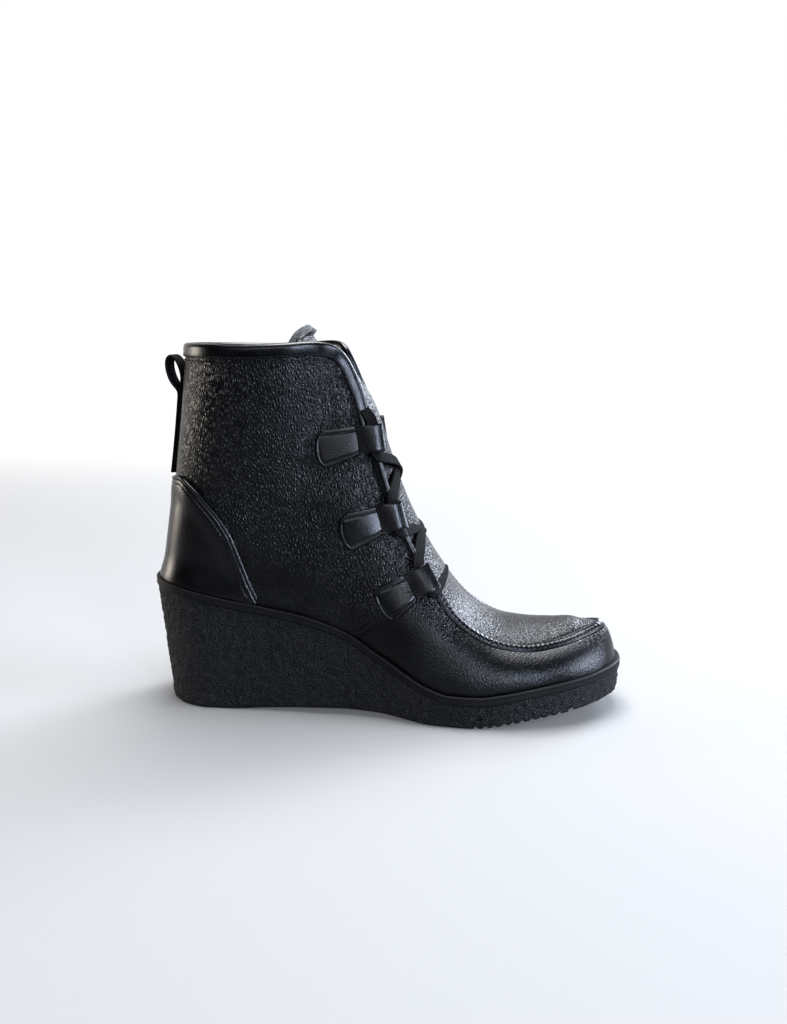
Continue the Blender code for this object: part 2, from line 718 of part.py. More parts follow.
def build_counter():
    """Smooth overlay round the heel, cut from the upper's own surface."""
    reach = round(COUNTER_STATION / STATION_STEP)
    stations = [k * STATION_STEP for k in range(-reach, reach + 1)]
    rows = COUNTER_ROWS
    outer, inner = [], []
    for s in stations:
        top = counter_share(s)
        for r in range(rows):
            u = top * r / (rows - 1)
            p, n = wall_point(s, u), wall_normal(s, u)
            near, far = p + n * CLEARANCE, p + n * (CLEARANCE + COUNTER_THICKNESS)
            if r == 0:
                seat_on_rand([near, far])
            outer.append(far)
            inner.append(near)
    return sheet_solid("heel_counter", outer, inner, strip_faces(len(stations), rows), SMOOTH_LEATHER)


def tongue_value(name, station):
    """A column of TONGUE at a station."""
    xs = column(TONGUE_COLUMNS, TONGUE, "station")
    return curve_value(xs, column(TONGUE_COLUMNS, TONGUE, name), station, True)


def build_tongue():
    """Padded tongue, behind the throat edges and under the apron."""
    start = THROAT_STATION + TONGUE_LAP
    top = TONGUE[-1][0]
    depth = UPPER_WALL + 2.0 * CLEARANCE
    flange = (1.0, 0.5)
    centre = TONGUE_COLUMNS_ACROSS
    rows = 2 * len(flange) + centre + 1
    outer = []
    for k in range(TONGUE_ROWS + 1):
        s = start + (top - start) * k / TONGUE_ROWS
        reach = TONGUE_OVERLAP * min(1.0, 0.5 + (start - s) / TONGUE_WIDENING)
        a = edge_point(s) - wall_normal(s, NEAR_EDGE) * depth
        b = edge_point(-s) - wall_normal(-s, NEAR_EDGE) * depth
        middle = apron_point(s, 0.5) - (edge_point(s) + edge_point(-s)) / 2.0
        crown = Vector()
        if s < TONGUE_CROWN_STATION:
            crown += middle
        if s < TONGUE_CLEAR_STATION:
            crown += middle.normalized() * depth
        line = []
        for share in flange:
            u = edge_share(s, reach * share)
            line.append(wall_point(s, u) - wall_normal(s, u) * depth)
        for j in range(centre + 1):
            q = j / centre
            line.append(a.lerp(b, q) + crown * 4.0 * q * (1.0 - q))
        for share in reversed(flange):
            u = edge_share(-s, reach * share)
            line.append(wall_point(-s, u) - wall_normal(-s, u) * depth)
        back = COLLAR_HEIGHT * tongue_value("back", s)
        up = COLLAR_HEIGHT * tongue_value("raise", s)
        wrap = COLLAR_HEIGHT * tongue_value("wrap", s)
        for i, p in enumerate(line):
            side = abs(2.0 * i / (rows - 1) - 1.0)
            spread = TONGUE_SPREAD * wrap * side ** 2 * (1.0 if p.y > 0.0 else -1.0)
            arch = 1.0 - TONGUE_ARCH * side ** 3
            outer.append(p + Vector((-back - wrap * side ** 2, spread, up * arch)))
    faces = strip_faces(TONGUE_ROWS + 1, rows)
    normals = point_normals(outer, faces)
    if normals[rows // 2].x < 0.0:
        normals = [-n for n in normals]
    inner = [p - n * TONGUE_THICKNESS for p, n in zip(outer, normals)]
    return sheet_solid("tongue", outer, inner, faces, SMOOTH_LEATHER)


def surface_at(x, z, side):
    """Station and u of the wall at side-view place (x, z) on one side."""
    station, u = SEARCH_START
    for step in range(HALVINGS):
        p = wall_point(side * station, u)
        ex, ez = x - p.x, z - p.z
        ds = wall_point(side * (station + STATION_NUDGE), u) - p
        du = wall_point(side * station, u - SHARE_NUDGE) - p
        det = ds.x * du.z - du.x * ds.z
        along = STATION_NUDGE * (ex * du.z - du.x * ez) / det
        down = SHARE_NUDGE * (ds.x * ez - ex * ds.z) / det
        station += max(-STATION_LIMIT, min(STATION_LIMIT, along))
        u -= max(-SHARE_LIMIT, min(SHARE_LIMIT, down))
        u = min(1.0, max(0.0, u))
    return side * station, u


class Tab:
    """Frame of one lace tab: s forward along the strap, b across it, n out of the leather."""

    def __init__(self, row, side):
        value = dict(zip(TAB_COLUMNS, row))
        shift = 2.0 * INNER_SETBACK if side < 0 else 0.0
        self.side = side
        self.root = Vector((value["root_x"] * LENGTH - shift, 0.0, value["root_z"] * COLLAR_HEIGHT))
        rear = Vector((value["rear_x"] * LENGTH - shift, 0.0, value["rear_z"] * COLLAR_HEIGHT))
        self.length = (self.root - rear).length
        self.forward = (self.root - rear).normalized()
        lean = math.radians(value["tilt"])
        self.up = Vector((-math.sin(lean), 0.0, math.cos(lean)))
        station, u = surface_at(self.root.x, self.root.z, side)
        self.normal = wall_normal(station, u)
        here = wall_point(station, u)
        behind = self.root - self.forward * TAB_LEVEL
        self.run = (here - wall_point(*surface_at(behind.x, behind.z, side))).normalized()
        self.across = self.normal.cross(self.run).normalized() * side
        if self.across.z < 0.0:
            self.across = -self.across
        self.origin = here

    def at(self, s, b, n):
        """A point of the tab in heel-back coordinates."""
        if s >= 0.0:
            return self.origin + self.run * s + self.across * b + self.normal * n
        b += (b - TAB_WIDTH / 2.0) * TAB_FLARE * -s / self.length
        place_xz = self.root + self.forward * s + self.up * b
        station, u = surface_at(place_xz.x, place_xz.z, self.side)
        skin = wall_point(station, u) + wall_normal(station, u) * n
        blend = max(0.0, 1.0 + s / TAB_BLEND)
        flat = self.origin + self.run * s + self.across * b + self.normal * n
        return skin.lerp(flat, blend)

    def mouth(self, end):
        """Where the lace leaves the loop: end is 1 at the top, -1 at the bottom."""
        return self.at(LOOP_CENTRE, end * (TAB_WIDTH / 2.0 + 2.0 * CLEARANCE), LOOP_MIDDLE)


def build_tab(row, side):
    """Rounded patch on the quarter whose strap folds into a loop for the lace."""
    tab = Tab(row, side)
    crosses = (-1.0, -0.86, -0.45, 0.0, 0.45, 0.86, 1.0)
    half = TAB_WIDTH / 2.0
    patch = 5
    ring = 8
    low = 1.5 * CLEARANCE
    points = []
    for cross in crosses:
        b = half * cross
        rounding = TAB_CORNER * (1.0 - math.sqrt(1.0 - cross ** 2))
        rear = -tab.length + rounding
        shares = [rear * (1.0 - k / patch) for k in range(patch + 1)]
        upper_line = [(s, low + TAB_THICKNESS) for s in shares]
        upper_line[-1] = (0.0, SEAM_CLEAR + 1.6 * LOOP_WALL)
        under_line = [(s, low) for s in shares]
        under_line[-1] = (0.0, SEAM_CLEAR)
        angles = [math.radians(LOOP_ARC * (1.0 - 2.0 * k / (ring - 1))) for k in range(ring)]
        outer_ring = [(LOOP_CENTRE + LOOP_LENGTH / 2.0 * math.cos(a),
                       LOOP_MIDDLE + LOOP_HEIGHT / 2.0 * math.sin(a)) for a in angles]
        hole_ring = [(LOOP_CENTRE + (LOOP_LENGTH / 2.0 - LOOP_WALL) * math.cos(a),
                      LOOP_MIDDLE + (LOOP_HEIGHT / 2.0 - LOOP_WALL) * math.sin(a)) for a in angles]
        for s, n in upper_line + under_line + outer_ring + hole_ring:
            points.append(tab.at(s, b, n))
    size = 2 * (patch + 1) + 2 * ring
    top0, under0, out0, hole0 = 0, patch + 1, 2 * patch + 2, 2 * patch + 2 + ring
    loop_line = (list(range(top0, top0 + patch + 1)) + list(range(out0, out0 + ring))
                 + list(range(under0 + patch, under0 - 1, -1)))
    faces = []
    for c in range(len(crosses) - 1):
        here, there = c * size, (c + 1) * size
        for a, b in zip(loop_line, loop_line[1:] + loop_line[:1]):
            faces.append((here + a, here + b, there + b, there + a))
        hole_line = list(range(hole0, hole0 + ring))
        for a, b in zip(hole_line, hole_line[1:] + hole_line[:1]):
            faces.append((here + b, here + a, there + a, there + b))
    for c in (0, len(crosses) - 1):
        here = c * size
        caps = [(top0 + k, top0 + k + 1, under0 + k + 1, under0 + k) for k in range(patch)]
        caps += [(out0 + k, out0 + k + 1, hole0 + k + 1, hole0 + k) for k in range(ring - 1)]
        caps += [(top0 + patch, out0, out0 + ring - 1, under0 + patch)]
        caps += [(out0, hole0, hole0 + ring - 1, out0 + ring - 1)]
        for cap in caps:
            faces.append(tuple(here + i for i in cap))
    side_name = "outer" if side > 0 else "inner"
    return make_object(f"tab_{row[0]}_{side_name}", points, faces, SMOOTH_LEATHER)


def ribbon(name, path, normals, material):
    """Flat elastic lace along a path."""
    points, faces = [], []
    count = len(path)
    for k, p in enumerate(path):
        run = (path[min(k + 1, count - 1)] - path[max(k - 1, 0)]).normalized()
        wide = run.cross(normals[k]).normalized() * LACE_WIDTH / 2.0
        thick = wide.cross(run).normalized() * LACE_THICKNESS / 2.0
        points += [p + wide + thick, p - wide + thick, p - wide - thick, p + wide - thick]
    for k in range(count - 1):
        a = 4 * k
        for i in range(4):
            j = (i + 1) % 4
            faces.append((a + i, a + j, a + 4 + j, a + 4 + i))
    faces += [(0, 1, 2, 3), (4 * count - 1, 4 * count - 2, 4 * count - 3, 4 * count - 4)]
    return make_object(name, points, faces, material)


def lace_path(tab_a, end_a, tab_b, end_b, lift):
    """Lace from one loop's mouth over the tongue to another's."""
    leave = tab_a.across * end_a
    arrive = tab_b.across * end_b
    start = tab_a.mouth(end_a) + leave * LACE_STRAIGHT
    finish = tab_b.mouth(end_b) + arrive * LACE_STRAIGHT
    reach = 0.35 * (finish - start).length
    out = (tab_a.normal + tab_b.normal).normalized()
    p1 = start + leave * min(reach, LACE_BEND)
    p2 = finish + arrive * min(reach, LACE_BEND)
    path, normals = [], []
    steps = 10
    for k in range(steps + 1):
        u = k / steps
        v = 1.0 - u
        point = v ** 3 * start + 3 * v * v * u * p1 + 3 * v * u * u * p2 + u ** 3 * finish
        path.append(point + out * lift * 16.0 * u * u * v * v)
        bend = (tab_a.normal * max(0.0, 1.0 - 2.0 * u) + out * (1.0 - abs(2.0 * u - 1.0))
                + tab_b.normal * max(0.0, 2.0 * u - 1.0))
        normals.append(bend.normalized())
    path = [tab_a.mouth(end_a)] + path + [tab_b.mouth(end_b)]
    normals = [tab_a.normal] + normals + [tab_b.normal]
    return path, normals


def join(keeper, other):
    """Fuses two crossing lengths of lace into one solid."""
    union = keeper.modifiers.new("join", "BOOLEAN")
    union.operation = "UNION"
    union.object = other
    bpy.context.view_layer.update()
    depsgraph = bpy.context.evaluated_depsgraph_get()
    mesh = bpy.data.meshes.new_from_object(keeper.evaluated_get(depsgraph))
    keeper.modifiers.clear()
    keeper.data = mesh
    bpy.data.objects.remove(other)


def build_laces(tabs):
    """Bottom bar, two crossings and the two ends that tuck in above the top loops."""
    low, middle, top = "low", "middle", "top"
    path, normals = lace_path(tabs[low, 1], -1, tabs[low, -1], -1, LACE_LIFTS[0])
    ribbon("lace_bar", path, normals, WEBBING)
    for number, (under, over) in enumerate(((low, middle), (middle, top)), 1):
        path, normals = lace_path(tabs[under, -1], 1, tabs[over, 1], -1, LACE_LIFTS[number])
        beneath = ribbon(f"lace_beneath_{number}", path, normals, WEBBING)
        lift = LACE_LIFTS[number] + LACE_STACK * LACE_THICKNESS
        path, normals = lace_path(tabs[under, 1], 1, tabs[over, -1], -1, lift)
        crossing = ribbon(f"lace_crossing_{number}", path, normals, WEBBING)
        join(crossing, beneath)
    for side, word in ((1, "outer"), (-1, "inner")):
        tab = tabs[top, side]
        start = tab.mouth(1)
        path = []
        steps = 5
        for k in range(steps + 1):
            q = k / steps
            path.append(start + tab.across * LACE_STUB * q - tab.normal * LACE_DIP * q * q)
        ribbon(f"lace_end_{word}", path, [tab.normal] * (steps + 1), WEBBING)


def build_pull_loop():
    """Folded strap up the back seam with a standing loop, cut from its side view."""
    base = wall_point(0.0, counter_share(0.0))
    start = base.z + COUNTER_THICKNESS
    strap = []
    steps = 7
    for k in range(steps + 1):
        z = start + (COLLAR_HEIGHT * STRAP_TOP - start) * k / steps
        low, high = 0.0, 1.0
        for step in range(HALVINGS):
            u = 0.5 * (low + high)
            if wall_point(0.0, u).z < z:
                low = u
            else:
                high = u
        strap.append((wall_point(0.0, low).x - 2.0 * CLEARANCE, z))
    root_x, root_z = strap[-1]
    outline = list(strap)
    middle_x = root_x - STRAP_THICKNESS
    for k in range(9):
        a = math.radians(-60.0 + 300.0 * k / 8.0)
        z = LOOP_RISE * (LOOP_CENTRE_SHARE + LOOP_HALF_SHARE * math.sin(a))
        x = LOOP_GAPE / 2.0 * math.cos(a) + LOOP_LEAN * z
        outline.append((middle_x + x, root_z + z))
    outline += [(x - STRAP_THICKNESS, z) for x, z in reversed(strap)]
    slit = []
    for k in range(10):
        a = math.radians(36.0 * k)
        z = SLIT_CENTRE_SHARE * LOOP_RISE + (SLIT_HALF_SHARE * LOOP_RISE - LOOP_STRAP) * math.sin(a)
        x = (LOOP_GAPE / 2.0 - LOOP_STRAP) * math.cos(a) + LOOP_LEAN * z
        slit.append((middle_x + x, root_z + z))
    curve = bpy.data.curves.new("pull_loop", "CURVE")
    curve.dimensions = "2D"
    curve.fill_mode = "BOTH"
    curve.extrude = STRAP_WIDTH / 2.0
    for ring in (outline, slit):
        spline = curve.splines.new("POLY")
        spline.points.add(len(ring) - 1)
        spline.use_cyclic_u = True
        for point, (x, z) in zip(spline.points, ring):
            point.co = (x - HEEL_SEAT, z, 0.0, 1.0)
    curve.materials.append(WEBBING)
    obj = bpy.data.objects.new("pull_loop", curve)
    obj.rotation_euler = (math.radians(90.0), 0.0, 0.0)
    COLLECTION.objects.link(obj)


for old in list(bpy.data.objects):
    bpy.data.objects.remove(old)
COLLECTION = bpy.data.collections.new("wedge_boot")
bpy.context.scene.collection.children.link(COLLECTION)
SMOOTH_LEATHER = leather("black_leather", (0.012, 0.013, 0.016), 0.38)
CREPE = leather("black_crepe_rubber", (0.014, 0.014, 0.015), 0.80)
RUBBER = leather("black_smooth_rubber", (0.018, 0.018, 0.020), 0.55)
FLEECE = leather("black_fleece", (0.020, 0.020, 0.022), 0.95)
WEBBING = leather("black_webbing", (0.015, 0.015, 0.017), 0.75)

build_sole()
build_rand()
build_insole()
build_upper()
build_binding()
build_counter()
build_tongue()
TAB_SET = {}
for tab_row in TABS:
    for tab_side in (1, -1):
        build_tab(tab_row, tab_side)
        TAB_SET[tab_row[0], tab_side] = Tab(tab_row, tab_side)
build_laces(TAB_SET)
build_pull_loop()
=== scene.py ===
"""Dresses the wedge ankle boot: leather, seams, lace, crepe wedge and studio.

Metres, +Z up, +X to the toe, +Y to the inner side of the foot. Every function counts
X from the back of the heel, and new_piece() moves the points to the frame.
"""
import math

import bpy
import numpy as np
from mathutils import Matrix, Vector, noise


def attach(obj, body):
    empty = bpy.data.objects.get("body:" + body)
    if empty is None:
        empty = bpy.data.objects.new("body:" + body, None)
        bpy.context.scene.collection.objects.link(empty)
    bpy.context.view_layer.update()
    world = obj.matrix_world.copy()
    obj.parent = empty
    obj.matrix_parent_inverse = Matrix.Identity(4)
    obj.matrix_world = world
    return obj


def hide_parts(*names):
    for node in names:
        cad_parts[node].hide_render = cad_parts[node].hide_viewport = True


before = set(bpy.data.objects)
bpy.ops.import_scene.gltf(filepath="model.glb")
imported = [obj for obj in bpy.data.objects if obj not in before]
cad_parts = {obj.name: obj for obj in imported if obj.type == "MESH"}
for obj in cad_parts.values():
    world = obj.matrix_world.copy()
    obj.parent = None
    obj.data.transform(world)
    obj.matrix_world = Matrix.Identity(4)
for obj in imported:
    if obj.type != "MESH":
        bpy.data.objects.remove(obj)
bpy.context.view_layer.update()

bl_info = {
    "name": "Wedge ankle boot",
    "version": (1, 0, 0),
    "blender": (4, 5, 0),
    "location": "View3D > Sidebar > Boot",
    "description": "Builds a laced wedge ankle boot and its studio",
    "category": "Object",
}

BODY = "root"
MM = 0.001

# Sizes of the last, the same as in the part
LENGTH = 0.2495
BALL_WIDTH = 0.094
HEEL_HEIGHT = 0.067
SOLE_EDGE = 0.0165
TOE_SPRING = 0.0095
ARCH_HEIGHT = 0.003
HEEL_TUCK = 0.0075
SIDE_TUCK = 0.0008
HEEL_SEAT = 0.034
RAND_THICKNESS = 0.0045
CLEARANCE = 0.0003
COLLAR_HEIGHT = 0.190
UPPER_WALL = 0.0028
LEDGE = 0.0042
INSOLE_THICKNESS = 0.0035
TONGUE_THICKNESS = 0.0045
TOOTH_PITCH = 0.0046
TOOTH_DEPTH = 0.0012
NOTCH_DEPTH = 0.0024
TAB_WIDTH = 0.0142
TAB_FLARE = 0.46
TAB_CORNER = 0.0075
TAB_SETBACK = 0.0062
LOOP_LENGTH = 0.0086
LOOP_HEIGHT = 0.0040
LOOP_RAMP = 0.0030
LOOP_CENTRE = LOOP_RAMP + LOOP_LENGTH / 2.0
LOOP_MIDDLE = 0.0031
LACE_LIFTS = (0.0110, 0.0088, 0.0068)
LACE_BEND = 0.0080
LACE_STRAIGHT = 0.0006
LACE_TURN = 0.50
LACE_RIBS = 7
STRAP_TOP = 0.1650
LOOP_RISE = 0.0190
LOOP_GAPE = 0.0090
LOOP_LEAN = -0.22
TAPE_WIDTH = 0.013
TAPE_THICKNESS = 0.0013
TAPE_RIBS = 10

# Panels, seams and lining
PANEL_THICKNESS = 0.0014
PANEL_UNDER_BINDING = 0.0058
PANEL_AT_THROAT = 0.0042
PANEL_STITCH = 0.0082
SEAM_LAP = 0.0010
SEAM_STITCHES = (0.0016, 0.0042)
STATION_RUN = 0.0125            # leather per station beside the side seam
FLARE_DEPTH = 0.0017
FLARE_HEIGHT = 0.0095
PUCKER_PITCH = 0.0026
PUCKER_DEPTH = 0.00012
WRINKLE_PITCH = 0.0034
WRINKLE_DEPTH = 0.00006
COUNTER_LAP = 0.0012
COUNTER_STITCHES = (0.0021, 0.0046)
THROAT_STITCH = ((3.15, -0.02),)
STITCH_PITCH = 0.0026
FACE_THICKNESS = 0.0019         # leather of the tongue, in front of its fleece
LINING_DEPTH = 0.0016
PILE_THICKNESS = 0.0012
PILE_FUZZ = 0.0002

# Tabs
TAB_LEVEL = 0.004
TAB_BLEND = 0.003
TAB_STITCH = 0.0019
TAB_ROUNDING = 2.4

# Crepe wedge
WEDGE_INSET = 0.0009
WEDGE_OVERLAP = 0.0002
SOLE_ROUND = 0.0017
SOLE_ROUND_DEPTH = 0.0015
CRUMB_DEPTH = 0.0007
CRUMB_SCALES = (330.0, 640.0)
NOTCH_EASE = 0.003

# Studio
BACKDROP_FRONT = -0.32
BACKDROP_DEPTH = 1.6
BACKDROP_RADIUS = 1.2
BACKDROP_SPAN = 5.0
BACKDROP_RISE = 3.0
BACKDROP_STEPS = 16
GLOW_START = 0.20
GLOW_END = 1.30
GLOW_NEAR = (0.08, 0.08, 0.08)
GLOW_FAR = (0.69, 0.69, 0.69)
SKY = "#dfe8f4"
SKY_STRENGTH = 0.05
LIGHT_TARGET = (0.09, 0.0, 0.09)
# Name, place, width, height, power in watts and colour
LIGHTS = (
    ("top_box", (0.10, 0.20, 1.3), 0.7, 1.2, 26.0, "#fbfcff"),
    ("rear_box", (1.0, 1.25, 0.85), 0.7, 0.8, 22.0, "#e8f0ff"),
    ("toe_box", (1.3, -0.10, 0.35), 0.4, 0.6, 14.0, "#e4edff"),
    ("front_box", (0.95, -1.5, 0.45), 0.35, 0.8, 17.0, "#dfeaff"),
    ("fill_box", (-0.15, -2.0, 0.80), 1.5, 0.45, 9.0, "#f8faff"),
    ("heel_box", (-1.2, 0.15, 0.20), 0.4, 0.7, 7.0, "#fff6ea"),
)

# Camera: lens and horizon in the photo's pixels, turned towards the heel
FOCAL_PIXELS = 1100.0
FRAME_HEIGHT = 1024.0
HORIZON_ROW = 329.47
SENSOR = 36.0
CAMERA_YAW = math.radians(7.0)
CAMERA_AIM = 0.1287
CAMERA_DISTANCE = 0.5761
CAMERA_HEIGHT = 0.1973

# Plan of the sole at the rand: shares of LENGTH, then of BALL_WIDTH
OUTLINE_COLUMNS = ("along", "axis", "half")
OUTLINE = (
    (0.00, 0.000, 0.356),
    (0.15, 0.000, 0.356),
    (0.27, -0.012, 0.342),
    (0.42, -0.032, 0.340),
    (0.50, -0.032, 0.372),
    (0.60, -0.026, 0.458),
    (0.70, -0.014, 0.500),
    (0.78, -0.004, 0.500),
    (0.88, 0.016, 0.500),
    (1.00, 0.053, 0.500),
)
HEEL_CAP = 0.13
TOE_CAP = 0.30
CAP_POWER = 2.2

# Side view of the sole
PROFILE_COLUMNS = ("along", "rise", "spring", "arch")
PROFILE = (
    (0.00, 1.000, 0.00, 0.00),
    (0.05, 0.980, 0.00, 0.00),
    (0.10, 0.927, 0.00, 0.00),
    (0.18, 0.846, 0.00, 0.00),
    (0.27, 0.768, 0.00, 0.45),
    (0.34, 0.703, 0.00, 0.80),
    (0.42, 0.580, 0.00, 1.00),
    (0.50, 0.351, 0.00, 0.90),
    (0.545, 0.218, 0.00, 0.55),
    (0.59, 0.097, 0.00, 0.15),
    (0.61, 0.055, 0.00, 0.00),
    (0.65, 0.004, 0.00, 0.00),
    (0.71, 0.000, 0.00, 0.00),
    (0.76, 0.000, 0.17, 0.00),
    (0.81, 0.000, 0.40, 0.00),
    (0.86, 0.000, 0.60, 0.00),
    (0.92, 0.000, 0.80, 0.00),
    (1.00, 0.000, 1.00, 0.00),
)
TREAD_START = 0.69
TREAD_END = 0.88
NOTCH_START = 0.888
NOTCH_END = 0.900

# Ribs of the upper, heel to toe
RIB_COLUMNS = ("station", "foot", "edge_x", "edge_y", "edge_z", "rise", "swell",
               "drop", "reach", "crown", "setback")
RIBS = (
    (0, 0.000, 0.076, 0.000, 1.000, 0.25, 0.000, 0.37, -0.036, 0.000, 0.0),
    (1, 0.020, 0.098, 0.207, 1.000, 0.25, 0.005, 0.37, -0.030, 0.000, 0.0),
    (2, 0.064, 0.153, 0.351, 0.998, 0.28, 0.014, 0.36, -0.032, 0.000, 0.0),
    (3, 0.132, 0.228, 0.399, 0.996, 0.30, 0.023, 0.35, -0.031, 0.000, 0.0),
    (4, 0.200, 0.313, 0.391, 1.000, 0.30, 0.032, 0.34, -0.011, 0.000, 0.0),
    (5, 0.253, 0.379, 0.324, 1.004, 0.30, 0.043, 0.33, 0.027, 0.000, 0.2),
    (6, 0.289, 0.419, 0.243, 0.987, 0.30, 0.049, 0.32, 0.074, 0.000, 0.7),
    (7, 0.337, 0.449, 0.223, 0.926, 0.32, 0.053, 0.32, 0.096, 0.000, 1.0),
    (8, 0.389, 0.475, 0.223, 0.834, 0.33, 0.053, 0.32, 0.106, 0.100, 0.9),
    (9, 0.441, 0.498, 0.229, 0.705, 0.35, 0.053, 0.32, 0.106, 0.140, 0.6),
    (10, 0.489, 0.528, 0.237, 0.579, 0.36, 0.048, 0.30, 0.112, 0.160, 0.4),
    (11, 0.541, 0.567, 0.252, 0.463, 0.38, 0.043, 0.25, 0.117, 0.180, 0.3),
    (12, 0.593, 0.606, 0.273, 0.382, 0.42, 0.032, 0.18, 0.117, 0.190, 0.3),
    (13, 0.653, 0.655, 0.306, 0.286, 0.50, 0.023, 0.10, 0.106, 0.160, 0.0),
    (14, 0.721, 0.721, 0.321, 0.224, 0.58, 0.019, 0.06, 0.085, 0.215, 0.0),
    (15, 0.802, 0.798, 0.295, 0.201, 0.60, 0.016, 0.05, 0.080, 0.300, 0.0),
    (16, 0.882, 0.860, 0.227, 0.207, 0.60, 0.014, 0.08, 0.070, 0.350, 0.0),
    (17, 0.950, 0.910, 0.131, 0.221, 0.60, 0.018, 0.10, 0.066, 0.400, 0.0),
    (18, 1.000, 0.953, 0.000, 0.238, 0.50, 0.026, 0.12, 0.056, 0.000, 0.0),
)
TOE_STATION = 18
THROAT_STATION = 12
BINDING_STATION = 8
INNER_SETBACK = 0.0045
LEAN_STATION = 15
SEAM_LEAN = 0.032

COUNTER_COLUMNS = ("along", "height")
COUNTER = (
    (0.03, 0.628),
    (0.08, 0.645),
    (0.12, 0.615),
    (0.165, 0.555),
    (0.195, 0.493),
    (0.215, 0.425),
    (0.235, 0.357),
    (0.262, 0.305),
)
COUNTER_STATION = 4.8

TONGUE_COLUMNS = ("station", "back", "raise", "wrap")
TONGUE = (
    (12.0, 0.000, 0.000, 0.000),
    (9.0, 0.000, 0.000, 0.000),
    (7.6, 0.013, 0.000, 0.009),
    (6.7, 0.040, 0.009, 0.026),
    (6.0, 0.068, 0.050, 0.048),
)

TAB_COLUMNS = ("name", "rear_x", "rear_z", "root_x", "root_z", "tilt")
TABS = (
    ("low", 0.497, 0.318, 0.570, 0.363, 32.0),
    ("middle", 0.420, 0.512, 0.504, 0.537, 16.0),
    ("top", 0.369, 0.734, 0.459, 0.748, 9.0),
)

# Seam between vamp and quarter, side view from the rand to the throat, in metres
SIDE_SEAM = ((0.1133, 0.0412), (0.1185, 0.0435), (0.1221, 0.0467), (0.1330, 0.0560),
             (0.1465, 0.0690))

# Hollows and swells pressed into the quarters: place, reach and depth in side view, in metres
FOLD_COLUMNS = ("x", "z", "reach_x", "reach_z", "depth")
FOLDS = (
    (0.098, 0.128, 0.026, 0.0060, -0.0007),
    (0.104, 0.112, 0.020, 0.0050, 0.0005),
    (0.108, 0.096, 0.022, 0.0050, -0.0007),
    (0.040, 0.118, 0.030, 0.0090, -0.0006),
    (0.052, 0.098, 0.026, 0.0070, 0.0005),
)


def column(columns, rows, name):
    """One named column of a table."""
    i = columns.index(name)
    return [row[i] for row in rows]


def curve_value(xs, ys, x, keep_flat=False, round_ends=False):
    """Smooth curve through table rows."""
    if xs[0] > xs[-1]:
        xs, ys = xs[::-1], ys[::-1]
    if x <= xs[0]:
        return ys[0]
    if x >= xs[-1]:
        return ys[-1]
    i = max(k for k in range(len(xs) - 1) if xs[k] <= x)

    def step_slope(k):
        return (ys[k + 1] - ys[k]) / (xs[k + 1] - xs[k])

    def slope(k):
        if k == 0 or k == len(xs) - 1:
            return 0.0
        before, after = step_slope(k - 1), step_slope(k)
        if keep_flat:
            if before * after <= 0.0:
                return 0.0
            return 2.0 * before * after / (before + after)
        return (ys[k + 1] - ys[k - 1]) / (xs[k + 1] - xs[k - 1])

    width = xs[i + 1] - xs[i]
    s = (x - xs[i]) / width
    first = slope(i)
    last = slope(i + 1)
    if round_ends and i == 0:
        first = 1.5 * step_slope(0) - 0.5 * last
    if round_ends and i == len(xs) - 2:
        last = 1.5 * step_slope(i) - 0.5 * first
    return ((2 * s ** 3 - 3 * s ** 2 + 1) * ys[i] + (s ** 3 - 2 * s ** 2 + s) * width * first
            + (3 * s ** 2 - 2 * s ** 3) * ys[i + 1] + (s ** 3 - s ** 2) * width * last)


def outline_point(along, side):
    """Edge of the rand in plan; side is -1 on the outer side of the foot."""
    share = 1.0
    if along < HEEL_CAP:
        share = (1.0 - (1.0 - along / HEEL_CAP) ** CAP_POWER) ** (1.0 / CAP_POWER)
    if along > 1.0 - TOE_CAP:
        far = min(1.0, (along - 1.0 + TOE_CAP) / TOE_CAP)
        share = (1.0 - far ** CAP_POWER) ** (1.0 / CAP_POWER)
    xs = column(OUTLINE_COLUMNS, OUTLINE, "along")
    axis = curve_value(xs, column(OUTLINE_COLUMNS, OUTLINE, "axis"), along, True)
    half = curve_value(xs, column(OUTLINE_COLUMNS, OUTLINE, "half"), along, True)
    return np.array((along * LENGTH, BALL_WIDTH * (axis + side * half * share), 0.0))


def profile_value(name, x):
    """A column of PROFILE at x from the heel back."""
    xs = column(PROFILE_COLUMNS, PROFILE, "along")
    return curve_value(xs, column(PROFILE_COLUMNS, PROFILE, name), x / LENGTH, True)


PROFILE_X = np.linspace(-0.01, LENGTH + 0.01, 700)
RAND_TOP = np.array([SOLE_EDGE + profile_value("rise", x) * (HEEL_HEIGHT - SOLE_EDGE)
                     + profile_value("spring", x) * TOE_SPRING for x in PROFILE_X])
SOLE_BOTTOM = np.array([profile_value("spring", x) * TOE_SPRING
                        + profile_value("arch", x) * ARCH_HEIGHT for x in PROFILE_X])


def rand_top(x):
    """Height of the rand's top at x from the heel back."""
    return np.interp(x, PROFILE_X, RAND_TOP)


def sole_bottom(x):
    """Height of the tread at x from the heel back."""
    return np.interp(x, PROFILE_X, SOLE_BOTTOM)


def rib_value(name, station):
    """A column of RIBS at a station on either side."""
    xs = column(RIB_COLUMNS, RIBS, "station")
    ends = name in ("edge_y", "crown")
    return curve_value(xs, column(RIB_COLUMNS, RIBS, name), abs(station), round_ends=ends)


def fold(station):
    """Wraps signed stations round the toe."""
    station = np.asarray(station, dtype=float)
    return (station + TOE_STATION) % (2 * TOE_STATION) - TOE_STATION


def foot_point(station):
    """Rand edge at a signed station: outer side positive, inner side negative."""
    station = float(fold(station))
    return outline_point(rib_value("foot", station), -1.0 if station >= 0.0 else 1.0)


